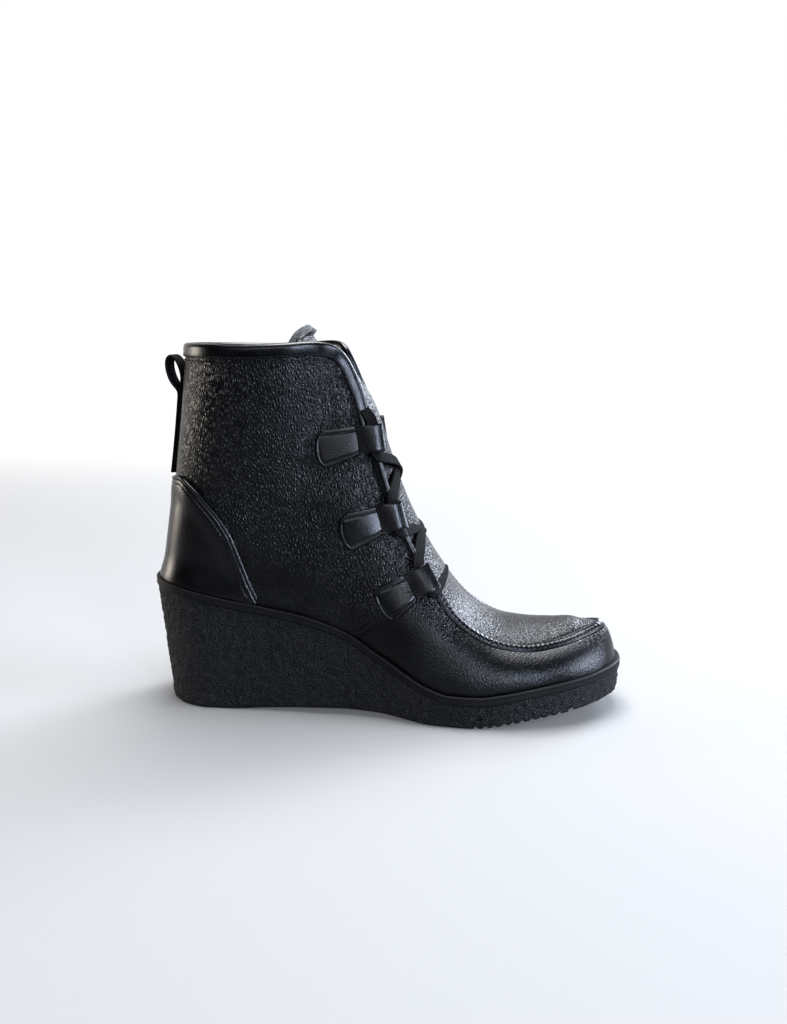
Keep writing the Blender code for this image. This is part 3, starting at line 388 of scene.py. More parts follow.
def rib_points(station):
    """The four points that shape the wall at a signed station."""
    d = foot_point(station + 0.02) - foot_point(station - 0.02)
    out = np.array((d[1], -d[0], 0.0)) / math.hypot(d[0], d[1])
    side = -1.0 if station >= 0.0 else 1.0
    x = LENGTH * rib_value("edge_x", station)
    if side > 0.0:
        x -= INNER_SETBACK * rib_value("setback", station)
    forward = max(0.0, abs(station) - LEAN_STATION) / (TOE_STATION - LEAN_STATION)
    y = side * BALL_WIDTH * rib_value("edge_y", station) + SEAM_LEAN * BALL_WIDTH * forward
    p3 = np.array((x, y, COLLAR_HEIGHT * rib_value("edge_z", station)))
    p0 = foot_point(station) - LEDGE * out
    p0[2] = rand_top(p0[0]) + CLEARANCE
    rise, drop = rib_value("rise", station), rib_value("drop", station)
    p1 = np.array((p0[0] + (p3[0] - p0[0]) * rise, p0[1], p0[2] + (p3[2] - p0[2]) * rise))
    p2 = np.array((p3[0] + (p0[0] - p3[0]) * drop, p3[1], p3[2] + (p0[2] - p3[2]) * drop))
    p1 += out * BALL_WIDTH * rib_value("swell", station)
    p2 += out * BALL_WIDTH * rib_value("reach", station)
    return (p0, p1, p2, p3)


def bezier(start, first, second, finish, u):
    """Point at u from 0 to 1 on the curve that four points shape."""
    v = 1.0 - u
    return v ** 3 * start + 3 * v * v * u * first + 3 * v * u * u * second + u ** 3 * finish


def run_length(line):
    """Distance along a line of points, from its first one."""
    return np.cumsum(np.linalg.norm(np.diff(line, axis=0, prepend=line[:1]), axis=1))


STATIONS = np.linspace(-TOE_STATION, TOE_STATION, 1441)
RIB_POINTS = np.array([rib_points(s) for s in STATIONS])
CROWN = np.array([rib_value("crown", s) for s in STATIONS])


def unit(v):
    """Vectors at length one."""
    return v / np.maximum(np.linalg.norm(v, axis=-1, keepdims=True), 1e-12)


def dot(a, b):
    """Dot products that keep their axis."""
    return (a * b).sum(-1, keepdims=True)


def wall(station, share):
    """Leather surface of the upper: share runs from 0 at the sole to 1 at the edge."""
    station, share = np.broadcast_arrays(fold(station), share)
    at = (station + TOE_STATION) / (2 * TOE_STATION) * (len(STATIONS) - 1)
    i = np.clip(at.astype(int), 0, len(STATIONS) - 2)
    part = (at - i)[..., None, None]
    p = RIB_POINTS[i] * (1.0 - part) + RIB_POINTS[i + 1] * part
    return bezier(p[..., 0, :], p[..., 1, :], p[..., 2, :], p[..., 3, :], share[..., None])


def edge(station):
    """Collar, throat edge or moccasin seam."""
    return wall(station, 1.0)


def wall_normal(station, share):
    """Outward normal of the leather surface."""
    across = wall(np.add(station, 0.06), share) - wall(np.add(station, -0.06), share)
    up = wall(station, np.add(share, 0.01)) - wall(station, np.add(share, -0.01))
    return unit(np.cross(across, up))


def edge_share(station, distance):
    """Share at a distance from the edge, square to it."""
    run = unit(edge(np.add(station, 0.05)) - edge(np.add(station, -0.05)))
    down = wall(station, 0.98) - edge(station)
    square = np.linalg.norm(down - run * dot(down, run), axis=-1)
    return 1.0 - 0.02 * distance / square


def smooth(x, low, high):
    """Eases from 0 at low to 1 at high."""
    t = np.clip((np.asarray(x, dtype=float) - low) / (high - low), 0.0, 1.0)
    return t * t * (3.0 - 2.0 * t)


def rounded(distance, radius):
    """Rounding of a cut edge: 0 at the edge, 1 from a radius inwards."""
    t = np.clip(np.asarray(distance, dtype=float) / radius, 0.0, 1.0)
    return np.sqrt(1.0 - (1.0 - t) ** 2)


def groove(distance, middle, width):
    """A pressed line, 1 in its middle."""
    return np.exp(-((distance - middle) / width) ** 2)


def surface_at(x, z, side):
    """Station and share of the wall at side-view places on one side."""
    x, z = np.broadcast_arrays(np.asarray(x, dtype=float), z)
    station = np.full(x.shape, 9.0)
    share = np.full(x.shape, 0.7)
    for turn in range(40):
        p = wall(side * station, share)
        ds = wall(side * (station + 0.05), share) - p
        du = wall(side * station, share - 0.02) - p
        ex, ez = x - p[..., 0], z - p[..., 2]
        det = ds[..., 0] * du[..., 2] - du[..., 0] * ds[..., 2]
        det = np.where(np.abs(det) < 1e-12, 1e-12, det)
        ahead = 0.05 * (ex * du[..., 2] - du[..., 0] * ez) / det
        lower = 0.02 * (ds[..., 0] * ez - ex * ds[..., 2]) / det
        station = station + np.clip(ahead, -0.5, 0.5)
        share = np.clip(share - np.clip(lower, -0.1, 0.1), 0.0, 1.0)
    return side * station, share


def linear(code):
    """sRGB hex to linear RGB."""
    parts = [int(code[i:i + 2], 16) / 255.0 for i in (1, 3, 5)]
    return tuple(c / 12.92 if c <= 0.04045 else ((c + 0.055) / 1.055) ** 2.4 for c in parts)


# Materials

def add(tree, kind, values=(), links=(), **settings):
    """Adds one node with its settings, socket values and links."""
    made = tree.nodes.new(kind)
    for name, value in settings.items():
        setattr(made, name, value)
    for socket, value in values:
        made.inputs[socket].default_value = value
    for socket, source in links:
        tree.links.new(source, made.inputs[socket])
    return made


def plain(name, colour, roughness, **sockets):
    """A material with its shader set by constants."""
    material = bpy.data.materials.new(name)
    material.use_nodes = True
    shader = material.node_tree.nodes["Principled BSDF"]
    shader.inputs["Base Color"].default_value = (*colour, 1.0)
    shader.inputs["Roughness"].default_value = roughness
    for socket, value in sockets.items():
        shader.inputs[socket.replace("_", " ")].default_value = value
    return material, material.node_tree, shader


def vary(tree, shader, coordinates, size, colour, darker, rough_low, rough_high):
    """Clouds of colour and roughness over a finish; size is that of a cloud in metres."""
    cloud = add(tree, "ShaderNodeTexNoise", [("Scale", 1.0 / size), ("Detail", 4.0)],
                [("Vector", coordinates)])
    share = add(tree, "ShaderNodeMapRange", [("From Min", 0.36), ("From Max", 0.64)],
                [("Value", cloud.outputs["Fac"])])
    mixed = add(tree, "ShaderNodeMix", [("A", (*darker, 1.0)), ("B", (*colour, 1.0))],
                [("Factor", share.outputs["Result"])], data_type="RGBA")
    rough = add(tree, "ShaderNodeMapRange", [("To Min", rough_low), ("To Max", rough_high)],
                [("Value", share.outputs["Result"])])
    tree.links.new(mixed.outputs["Result"], shader.inputs["Base Color"])
    tree.links.new(rough.outputs["Result"], shader.inputs["Roughness"])


def milled_leather():
    """Drum-milled cowhide: plump pebbles about 1.2 mm across under a soft aniline sheen.

    The vertex layer "grain" fades the pebbles where the leather is pulled over the last.
    """
    colours = bpy.context.scene.boot_colours
    material, tree, shader = plain("milled_black_cowhide", colours.leather, 0.36, IOR=1.46)
    place_node = add(tree, "ShaderNodeTexCoord")
    warp = add(tree, "ShaderNodeTexNoise", [("Scale", 320.0), ("Detail", 2.0)],
               [("Vector", place_node.outputs["Object"])])
    shifted = add(tree, "ShaderNodeMix", [("Factor", 0.0012)],
                  [("A", place_node.outputs["Object"]), ("B", warp.outputs["Color"])],
                  data_type="VECTOR")
    stretched = add(tree, "ShaderNodeMapping",
                    [("Rotation", (0.0, 0.6, 0.0)), ("Scale", (1.0, 1.0, 0.62))],
                    [("Vector", shifted.outputs[1])])
    cells = add(tree, "ShaderNodeTexVoronoi", [("Scale", 1.0 / bpy.context.scene.boot_sizes.pebble)],
                [("Vector", stretched.outputs[0])], feature="DISTANCE_TO_EDGE")
    pebble = add(tree, "ShaderNodeMapRange", [("From Max", 0.42)], [("Value", cells.outputs["Distance"])],
                 interpolation_type="SMOOTHSTEP")
    pores = add(tree, "ShaderNodeTexVoronoi", [("Scale", 2200.0)],
                [("Vector", place_node.outputs["Object"])], feature="F1")
    grain = add(tree, "ShaderNodeAttribute", attribute_name="grain")
    height = add(tree, "ShaderNodeMath", [(0, 0.0)],
                 [(0, pebble.outputs["Result"]), (1, grain.outputs["Fac"])], operation="MULTIPLY")
    coarse = add(tree, "ShaderNodeBump", [("Strength", 1.0), ("Distance", 0.00042)],
                 [("Height", height.outputs[0])])
    fine = add(tree, "ShaderNodeBump", [("Strength", 0.3), ("Distance", 0.00025)],
               [("Height", pores.outputs["Distance"]), ("Normal", coarse.outputs["Normal"])], invert=True)
    tree.links.new(fine.outputs["Normal"], shader.inputs["Normal"])
    vary(tree, shader, place_node.outputs["Object"], 0.018, colours.leather, linear("#08090b"), 0.29, 0.34)
    return material


def smooth_leather():
    """Smooth box calf: pores far finer than 1 mm and a waxed, even sheen."""
    colours = bpy.context.scene.boot_colours
    material, tree, shader = plain("smooth_black_calf", colours.leather, 0.34,
                                   IOR=1.48, Coat_Weight=0.1, Coat_Roughness=0.2)
    place_node = add(tree, "ShaderNodeTexCoord")
    pores = add(tree, "ShaderNodeTexVoronoi", [("Scale", 1500.0)],
                [("Vector", place_node.outputs["Object"])], feature="F1")
    fine = add(tree, "ShaderNodeBump", [("Strength", 0.22), ("Distance", 0.0003)],
               [("Height", pores.outputs["Distance"])], invert=True)
    tree.links.new(fine.outputs["Normal"], shader.inputs["Normal"])
    vary(tree, shader, place_node.outputs["Object"], 0.012, colours.leather, linear("#090a0c"), 0.27, 0.32)
    return material


def crepe_rubber():
    """Crepe rubber foam: crumbs 1 to 2 mm across, matt and charcoal."""
    colours = bpy.context.scene.boot_colours
    material, tree, shader = plain("black_crepe_rubber", colours.rubber, 0.8, IOR=1.5)
    place_node = add(tree, "ShaderNodeTexCoord")
    crumbs = add(tree, "ShaderNodeTexVoronoi", [("Scale", 950.0)],
                 [("Vector", place_node.outputs["Object"])], feature="F1")
    bump = add(tree, "ShaderNodeBump", [("Strength", 1.0), ("Distance", 0.0008)],
               [("Height", crumbs.outputs["Distance"])], invert=True)
    tree.links.new(bump.outputs["Normal"], shader.inputs["Normal"])
    vary(tree, shader, place_node.outputs["Object"], 0.0011, colours.rubber, linear("#08080a"), 0.5, 0.9)
    return material


def smooth_rubber():
    """Moulded rubber band: a satin skin with faint flow marks."""
    colours = bpy.context.scene.boot_colours
    material, tree, shader = plain("black_moulded_rubber", colours.rubber, 0.5, IOR=1.42)
    place_node = add(tree, "ShaderNodeTexCoord")
    skin = add(tree, "ShaderNodeTexNoise", [("Scale", 1100.0), ("Detail", 3.0)],
               [("Vector", place_node.outputs["Object"])])
    bump = add(tree, "ShaderNodeBump", [("Strength", 0.4), ("Distance", 0.0004)],
               [("Height", skin.outputs["Fac"])])
    tree.links.new(bump.outputs["Normal"], shader.inputs["Normal"])
    vary(tree, shader, place_node.outputs["Object"], 0.004, linear("#131416"), linear("#0c0d0e"),
         0.48, 0.62)
    return material


def fleece():
    """Short polyester pile: no shine, a soft fuzzy edge."""
    colours = bpy.context.scene.boot_colours
    material, tree, shader = plain("black_fleece", colours.fleece, 0.95, Sheen_Weight=0.4,
                                   Sheen_Roughness=0.5)
    place_node = add(tree, "ShaderNodeTexCoord")
    pile = add(tree, "ShaderNodeTexNoise", [("Scale", 1300.0), ("Detail", 5.0), ("Roughness", 0.8)],
               [("Vector", place_node.outputs["Object"])])
    bump = add(tree, "ShaderNodeBump", [("Strength", 1.0), ("Distance", 0.0012)],
               [("Height", pile.outputs["Fac"])])
    tree.links.new(bump.outputs["Normal"], shader.inputs["Normal"])
    vary(tree, shader, place_node.outputs["Object"], 0.003, colours.fleece, linear("#0c0d10"), 0.9, 1.0)
    return material


def webbing(name, across, pitch):
    """Woven elastic or tape: cords along it and weft every so often, in its UV map in metres."""
    colours = bpy.context.scene.boot_colours
    material, tree, shader = plain(name, colours.webbing, 0.85, IOR=1.35)
    uv = add(tree, "ShaderNodeUVMap", uv_map="cloth")
    split = add(tree, "ShaderNodeSeparateXYZ", links=[("Vector", uv.outputs["UV"])])
    waves = []
    for socket, spacing in (("X", pitch), ("Y", across)):
        turn = add(tree, "ShaderNodeMath", [(1, 2.0 * math.pi / spacing)], [(0, split.outputs[socket])],
                   operation="MULTIPLY")
        waves.append(add(tree, "ShaderNodeMath", links=[(0, turn.outputs[0])], operation="SINE"))
    both = add(tree, "ShaderNodeMath", links=[(0, waves[0].outputs[0]), (1, waves[1].outputs[0])],
               operation="ADD")
    height = add(tree, "ShaderNodeMapRange", [("From Min", -2.0), ("From Max", 2.0)],
                 [("Value", both.outputs[0])])
    bump = add(tree, "ShaderNodeBump", [("Strength", 0.9), ("Distance", 0.0004)],
               [("Height", height.outputs[0])])
    tree.links.new(bump.outputs["Normal"], shader.inputs["Normal"])
    # Painted shade: the base colour runs from near black in the low grooves between the cords to the webbing
    # colour on the cord tops, following the bump's height.
    mixed = add(tree, "ShaderNodeMix", [("A", (*linear("#0b0b0c"), 1.0)), ("B", (*colours.webbing, 1.0))],
                [("Factor", height.outputs[0])], data_type="RGBA")
    tree.links.new(mixed.outputs["Result"], shader.inputs["Base Color"])
    return material


def thread():
    """Waxed nylon thread: twisted, a little shinier than the leather."""
    colours = bpy.context.scene.boot_colours
    material, tree, shader = plain("waxed_black_thread", colours.thread, 0.5)
    place_node = add(tree, "ShaderNodeTexCoord")
    twist = add(tree, "ShaderNodeTexNoise", [("Scale", 2500.0)], [("Vector", place_node.outputs["Object"])])
    bump = add(tree, "ShaderNodeBump", [("Strength", 0.5), ("Distance", 0.0002)],
               [("Height", twist.outputs["Fac"])])
    tree.links.new(bump.outputs["Normal"], shader.inputs["Normal"])
    vary(tree, shader, place_node.outputs["Object"], 0.003, colours.thread, linear("#121316"), 0.42, 0.6)
    return material


MATERIALS = {}


def finish_of(name):
    """Makes each material once."""
    makers = {
        "milled": milled_leather,
        "calf": smooth_leather,
        "crepe": crepe_rubber,
        "band": smooth_rubber,
        "fleece": fleece,
        "elastic": lambda: webbing("ribbed_black_elastic", 0.0008, 0.0011),
        "tape": lambda: webbing("woven_black_tape", 0.0009, 0.0012),
        "thread": thread,
    }
    if name not in MATERIALS:
        MATERIALS[name] = makers[name]()
    return MATERIALS[name]


# Meshes

def new_piece(name, points, faces, finish, nodes=(), sharp=50.0, layers=None, uv=None):
    """One piece in the frame; points count X from the heel back."""
    points = np.asarray(points, dtype=float).reshape(-1, 3) - (HEEL_SEAT, 0.0, 0.0)
    mesh = bpy.data.meshes.new(name)
    mesh.from_pydata(points.tolist(), [], faces)
    mesh.validate()
    mesh.shade_smooth()
    mesh.set_sharp_from_angle(angle=math.radians(sharp))
    for layer, values in (layers or {}).items():
        mesh.attributes.new(layer, "FLOAT", "POINT").data.foreach_set("value", np.ravel(values))
    if uv is not None:
        corners = np.empty(len(mesh.loops), dtype=int)
        mesh.loops.foreach_get("vertex_index", corners)
        mesh.uv_layers.new(name="cloth").data.foreach_set("uv", np.asarray(uv)[corners].ravel())
    mesh.materials.append(finish_of(finish))
    piece = bpy.data.objects.new(name, mesh)
    bpy.context.scene.collection.objects.link(piece)
    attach(piece, BODY)
    if nodes:
        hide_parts(*nodes)
    return piece


def grid_faces(columns, rows, start=0, ring=False, flip=False):
    """Quads of a grid stored column by column."""
    faces = []
    for c in range(columns if ring else columns - 1):
        a, b = start + c * rows, start + (c + 1) % columns * rows
        for r in range(rows - 1):
            face = (a + r, b + r, b + r + 1, a + r + 1)
            faces.append(face[::-1] if flip else face)
    return faces


def sheet_faces(columns, rows, ring=False):
    """Faces of a closed sheet: the outer grid, the inner grid and its rims."""
    n = columns * rows
    faces = grid_faces(columns, rows, ring=ring) + grid_faces(columns, rows, n, ring, True)
    for c in range(columns if ring else columns - 1):
        a, b = c * rows, (c + 1) % columns * rows
        faces.append((b, a, a + n, b + n))
        faces.append((a + rows - 1, b + rows - 1, b + rows - 1 + n, a + rows - 1 + n))
    if not ring:
        last = (columns - 1) * rows
        for r in range(rows - 1):
            faces.append((r, r + 1, r + 1 + n, r + n))
            faces.append((last + r + 1, last + r, last + r + n, last + r + 1 + n))
    return faces


def sheet(name, outer, normals, thickness, finish, nodes=(), ring=False, grain=None):
    """A closed skin of one thickness below an outer grid of points."""
    columns, rows = outer.shape[:2]
    points = np.concatenate([outer.reshape(-1, 3), (outer - normals * thickness).reshape(-1, 3)])
    layers = {}
    if grain is not None:
        layers["grain"] = np.concatenate([np.ravel(grain)] * 2)
    return new_piece(name, points, sheet_faces(columns, rows, ring), finish, nodes, layers=layers)


def tube(name, sections, finish, nodes=(), ring=False, uv=None, sharp=50.0):
    """A closed solid lofted through section loops, capped unless it is a ring."""
    sections = np.asarray(sections)
    columns, rows = sections.shape[:2]
    faces = []
    for c in range(columns if ring else columns - 1):
        a, b = c * rows, (c + 1) % columns * rows
        for r in range(rows):
            q = (r + 1) % rows
            faces.append((a + r, b + r, b + q, a + q))
    if not ring:
        faces.append(tuple(range(rows))[::-1])
        faces.append(tuple((columns - 1) * rows + r for r in range(rows)))
    return new_piece(name, sections, faces, finish, nodes, uv=uv, sharp=sharp)


def grid_normals(points):
    """Normals of a grid of points, from its own neighbours."""
    return unit(np.cross(np.gradient(points, axis=0), np.gradient(points, axis=1)))


def resample(points, pitch):
    """Evenly spaced places along a line of points, with their fractional index."""
    runs = np.linalg.norm(np.diff(points, axis=0), axis=1)
    along = np.concatenate([[0.0], np.cumsum(runs)])
    count = max(2, int(along[-1] / pitch))
    return np.interp((np.arange(count) + 0.5) / count * along[-1], along, np.arange(len(points)))


def pick(values, index):
    """Values of an array at fractional places."""
    low = np.clip(index.astype(int), 0, len(values) - 2)
    part = (index - low)[:, None]
    return values[low] * (1.0 - part) + values[low + 1] * part


def stitches(name, lines, length, width, pitch):
    """Rows of single stitches along lines of (points, normals), sunk a third into the leather."""
    rings, sides, sink = 5, 6, 0.35
    points, faces = [], []
    for line, normals in lines:
        index = resample(line, pitch)
        middle = pick(line, index)
        ahead = pick(line, np.minimum(index + 0.5, len(line) - 1))
        run = unit(ahead - pick(line, np.maximum(index - 0.5, 0)))
        up = unit(pick(normals, index))
        across = np.cross(up, run)
        for p, t, n, b in zip(middle, run, up, across):
            start = len(points)
            for k in range(rings):
                a = math.pi * (k + 0.5) / rings
                for j in range(sides):
                    c = 2.0 * math.pi * j / sides
                    rim = (b * math.cos(c) + n * (math.sin(c) - sink)) * width / 2.0
                    points.append(p - t * length / 2.0 * math.cos(a) + rim * math.sin(a))
            for k in range(rings - 1):
                for j in range(sides):
                    q = (j + 1) % sides
                    faces.append((start + k * sides + j, start + k * sides + q,
                                  start + (k + 1) * sides + q, start + (k + 1) * sides + j))
            faces.append(tuple(start + j for j in range(sides))[::-1])
            faces.append(tuple(start + (rings - 1) * sides + j for j in range(sides)))
    return new_piece(name, points, faces, "thread")


def pile(points, scale):
    """Uneven length of pile or height of crumbs over a grid of points, from -1 to 1."""
    values = [noise.noise(Vector(p) * scale) for p in points.reshape(-1, 3)]
    return np.array(values).reshape(points.shape[:2])


def soften(line, turns):
    """Rounds a line of points off where it bends, and keeps its ends."""
    for turn in range(turns):
        line[1:-1] = (line[:-2] + 2.0 * line[1:-1] + line[2:]) / 4.0
    return line


def side_word(side):
    """Name of a side of the foot: 1 outer, -1 inner."""
    return "outer" if side > 0 else "inner"


def wall_line(stations, shares, lift):
    """Points and normals of a line on the wall."""
    normals = wall_normal(stations, shares)
    return wall(stations, shares) + normals * lift, normals


# Upper

def seam_station(share):
    """Station of the side seam at a share of the panel's height."""
    xs, zs = zip(*SIDE_SEAM)
    stations, shares = surface_at(np.array(xs), np.array(zs), 1)
    shares[0], shares[-1] = 0.0, 1.0
    return np.interp(share, shares, stations)


def panel_top(station):
    """How far below the edge a panel ends: under the binding, or at the throat's piping."""
    bare = smooth(np.abs(station), BINDING_STATION - 0.1, BINDING_STATION + 0.1)
    return PANEL_AT_THROAT + (PANEL_UNDER_BINDING - PANEL_AT_THROAT) * (1.0 - bare)


def folds(points):
    """Soft hollows of the worn-in last, on both sides."""
    lift = np.zeros(points.shape[:-1])
    for row in FOLDS:
        value = dict(zip(FOLD_COLUMNS, row))
        far = ((points[..., 0] - value["x"]) / value["reach_x"]) ** 2
        far = far + ((points[..., 2] - value["z"]) / value["reach_z"]) ** 2
        lift += value["depth"] * np.exp(-far)
    return lift


def flare(share, station):
    """Leather turning out on to the rand at its foot."""
    height = share * np.linalg.norm(edge(station) - wall(station, 0.0), axis=-1)
    return FLARE_DEPTH * np.exp(-(height / FLARE_HEIGHT) ** 2)


def build_quarters():
    """Pebbled quarters in one piece round the back, lapped over the vamp at the side seams."""
    half = np.concatenate([np.linspace(0.0, 0.93, 170), np.linspace(0.932, 1.0, 46)])
    t = np.concatenate([-half[:0:-1], half])
    v = np.concatenate([np.linspace(0.0, 0.94, 80), np.linspace(0.95, 1.0, 10)])
    t, v = np.meshgrid(t, v, indexing="ij")
    end = seam_station(v)
    s = t * end
    share = v * edge_share(s, panel_top(s))
    base, normal = wall(s, share), wall_normal(s, share)
    gap = (1.0 - np.abs(t)) * end * STATION_RUN
    lap = SEAM_LAP * (1.0 - smooth(gap, 0.006, 0.030)) * rounded(gap, 0.0008)
    for line in SEAM_STITCHES:
        lap -= 0.00028 * groove(gap, line, 0.0004)
    lift = lap + folds(base) + flare(share, s)
    below = (1.0 - v) * np.linalg.norm(RIB_POINTS[0, 3] - RIB_POINTS[0, 0])
    lift -= 0.0005 * (1.0 - smooth(below, 0.0, 0.0020))
    grain = 0.25 + 0.75 * smooth(v, 0.10, 0.34)
    grain *= 0.65 + 0.35 * smooth(np.abs(s), 2.0, 7.0)
    grain *= 1.0 - 0.6 * (1.0 - smooth(gap, 0.0, 0.006))
    return sheet("quarters", base + normal * lift[..., None], normal, PANEL_THICKNESS, "milled",
                 ["upper"], grain=grain)


def build_vamp():
    """Vamp from side seam to side seam round the toe, gathered under the moccasin seam."""
    t = np.linspace(0.0, 1.0, 420)
    v = np.concatenate([np.linspace(0.0, 0.86, 44), np.linspace(0.87, 1.0, 22)])
    t, v = np.meshgrid(t, v, indexing="ij")
    start = seam_station(v) - 0.45
    s = fold(start + t * 2.0 * (TOE_STATION - start))
    share = v * edge_share(s, panel_top(s))
    base, normal = wall(s, share), wall_normal(s, share)
    height = np.linalg.norm(edge(s) - wall(s, 0.0), axis=-1)
    below = (1.0 - v) * height
    around = run_length(base[:, -1])[:, None]
    pucker = np.sin(2.0 * math.pi * around / PUCKER_PITCH) * (1.0 - smooth(below, 0.0, 0.0045))
    front = smooth(np.abs(s), 13.0, 15.0)
    lift = PUCKER_DEPTH * pucker * front - 0.0006 * (1.0 - smooth(below, 0.0, 0.0012))
    lift = lift + flare(share, s)
    wrinkle = np.sin(2.0 * math.pi * around / WRINKLE_PITCH + 3.0 * v)
    wrinkle = wrinkle * smooth(np.abs(s), 16.4, 17.4)
    lift = lift + WRINKLE_DEPTH * wrinkle * groove(v, 0.72, 0.22)
    grain = 0.16 + 0.55 * (1.0 - smooth(np.abs(s), 11.8, 14.0)) * smooth(v, 0.45, 0.85)
    return sheet("vamp", base + normal * lift[..., None], normal, PANEL_THICKNESS, "milled",
                 grain=grain)


def apron_frame(station):
    """Edge point, run, inward direction and normal of the apron at its seam."""
    p = edge(station)
    run = unit(edge(np.add(station, 0.08)) - edge(np.add(station, -0.08)))
    far = np.abs(station)
    middle = edge(np.minimum(far + 0.2, TOE_STATION)) + edge(-np.minimum(far + 0.2, TOE_STATION))
    middle = unit(middle - edge(far - 0.2) - edge(-(far - 0.2)))
    out = unit(np.stack([-middle[..., 2], np.zeros_like(far), middle[..., 0]], axis=-1))
    flat = unit(np.cross(out, run))
    slope = 2.0 * np.interp(far, STATIONS, CROWN) * np.abs(flat[..., 1])
    inward = unit(flat + out * slope[..., None])
    return p, run, inward, unit(np.cross(run, inward))


def apron_point(station, j):
    """Apron between the two seams, crowned across; j runs from 0 to 1."""
    station, j = np.broadcast_arrays(station, j)
    a, b = edge(station), edge(-station)
    ahead = np.minimum(station + 0.2, TOE_STATION)
    run = unit(edge(ahead) + edge(-ahead) - edge(station - 0.2) - edge(-(station - 0.2)))
    out = unit(np.stack([-run[..., 2], np.zeros(station.shape), run[..., 0]], axis=-1))
    crown = np.interp(station, STATIONS, CROWN) * np.linalg.norm(b - a, axis=-1) / 2.0
    j = j[..., None]
    return a * (1.0 - j) + b * j + out * crown[..., None] * 4.0 * j * (1.0 - j)


# Section of the seam on the wall's side, down from the edge and out, in millimetres
SEAM_WALL = ((4.7, -1.6), (4.5, -0.6), (4.35, -0.10), (4.15, 0.30), (3.9, 0.42), (3.65, 0.28),
             (3.45, -0.05), (3.2, -0.12), (2.95, 0.15), (2.6, 0.62), (2.1, 1.02), (1.5, 1.32),
             (0.9, 1.40), (0.4, 1.30))
# Then over the fold of the throat
SEAM_FOLD = ((0.0, 1.15), (-0.35, 0.60), (-0.50, -0.20), (-0.45, -1.20), (-0.15, -2.30),
             (0.6, -2.9), (2.4, -3.0), (4.6, -2.8))
# Or over the ridge on to the apron, inwards from the edge and out
SEAM_APRON = ((0.4, 1.30), (0.9, 1.18), (1.4, 0.85), (1.8, 0.40), (2.15, -0.10), (2.4, -0.9))
SEAM_BOTTOM = ((2.0, -1.6), (0.5, -1.9))


def wall_section(stations, profile):
    """Rows of points beside the edge for (down, out) pairs in millimetres."""
    rows = []
    down = wall(stations, 0.985) - edge(stations)
    run = unit(edge(stations + 0.05) - edge(stations - 0.05))
    down = unit(down - run * dot(down, run))
    toe = smooth(np.abs(stations), 15.0, 17.2)[:, None]
    for d, h in profile:
        share = edge_share(stations, max(0.0, d) * MM)
        if h > 0.5:
            h = h * (1.0 - 0.55 * toe)
        p = wall(stations, share) + wall_normal(stations, share) * h * MM
        rows.append(p + down * min(0.0, d) * MM)
    return rows


def build_throat_edge(side):
    """Rolled, piped edge of one quarter from the binding's end to the apron."""
    s = side * np.linspace(BINDING_STATION + 0.08, THROAT_STATION + 0.25, 150)
    rows = wall_section(s, SEAM_WALL) + wall_section(s, SEAM_FOLD)
    sections = np.stack(rows, axis=1)
    if side < 0:
        sections = sections[:, ::-1]
    return tube(f"throat_edge_{side_word(side)}", sections, "calf")


def build_moccasin_seam():
    """Raised ridge round the apron with its piping."""
    s = fold(np.linspace(THROAT_STATION + 0.1, 2 * TOE_STATION - THROAT_STATION - 0.1, 460))
    p, run, inward, normal = apron_frame(s)
    rows = wall_section(s, SEAM_WALL)
    toe = smooth(np.abs(s), 15.0, 17.2)[:, None]
    crest = unit(wall_normal(s, 0.99) + normal)
    rows.append(p + crest * (1.45 - 0.45 * toe) * MM)
    for d, h in SEAM_APRON + SEAM_BOTTOM:
        if h > 0.0:
            h = h * (1.0 - 0.25 * toe)
        rows.append(p + inward * d * MM + normal * h * MM)
    sections = np.stack(rows, axis=1)
    wave = 0.00010 * np.sin(2.0 * math.pi * run_length(p) / PUCKER_PITCH)
    sections[:, 9:18] += (wave[:, None] * normal)[:, None, :]
    return tube("moccasin_seam", sections, "calf")


def tongue_shift(station, side):
    """How far the tongue's top leans back, spreads and rises at a place across it."""
    xs = column(TONGUE_COLUMNS, TONGUE, "station")
    back, up, wrap = (np.array([curve_value(xs, column(TONGUE_COLUMNS, TONGUE, name), s, True)
                                for s in station]) * COLLAR_HEIGHT for name in ("back", "raise", "wrap"))
    far = np.abs(side)
    back, up, wrap = back[:, None], up[:, None], wrap[:, None]
    spread = 0.6 * wrap * far ** 2 * np.sign(side)
    return np.stack([-back - wrap * far ** 2, spread, up * (1.0 - 0.9 * far ** 3)], axis=-1)


def tongue_surface(station, across):
    """Apron and tongue as one surface from the toe to the tongue's top.

    across runs from -1 on the outer side to 1 on the inner side, past it under the quarters.
    """
    depth = UPPER_WALL + 2.0 * CLEARANCE
    s = station[:, None]
    j = np.clip((across + 1.0) / 2.0, 0.0, 1.0)[None, :] * np.ones_like(s)
    under = 1.0 - smooth(s, 10.9, 12.3)
    crown = apron_point(s, 0.5) - (edge(s) + edge(-s)) / 2.0
    base = apron_point(s, j)
    a = edge(s) - wall_normal(s, 0.97) * depth * under[..., None]
    b = edge(-s) - wall_normal(-s, 0.97) * depth * under[..., None]
    sides = (a - edge(s)) * (1.0 - j[..., None]) + (b - edge(-s)) * j[..., None]
    rise = (unit(crown) * depth * under[..., None]) * (4.0 * j * (1.0 - j))[..., None]
    surface = base + sides + rise
    over = np.maximum(0.0, np.abs(across) - 1.0)[None, :] * np.ones_like(s)
    for sign in (-1.0, 1.0):
        mask = (np.sign(across) == sign) & (np.abs(across) > 1.0)
        if mask.any():
            share = edge_share(-sign * s, over[:, mask])
            below = (0.0012 + (depth - 0.0012) * under)[..., None]
            surface[:, mask] = wall(-sign * s, share) - wall_normal(-sign * s, share) * below
    return surface


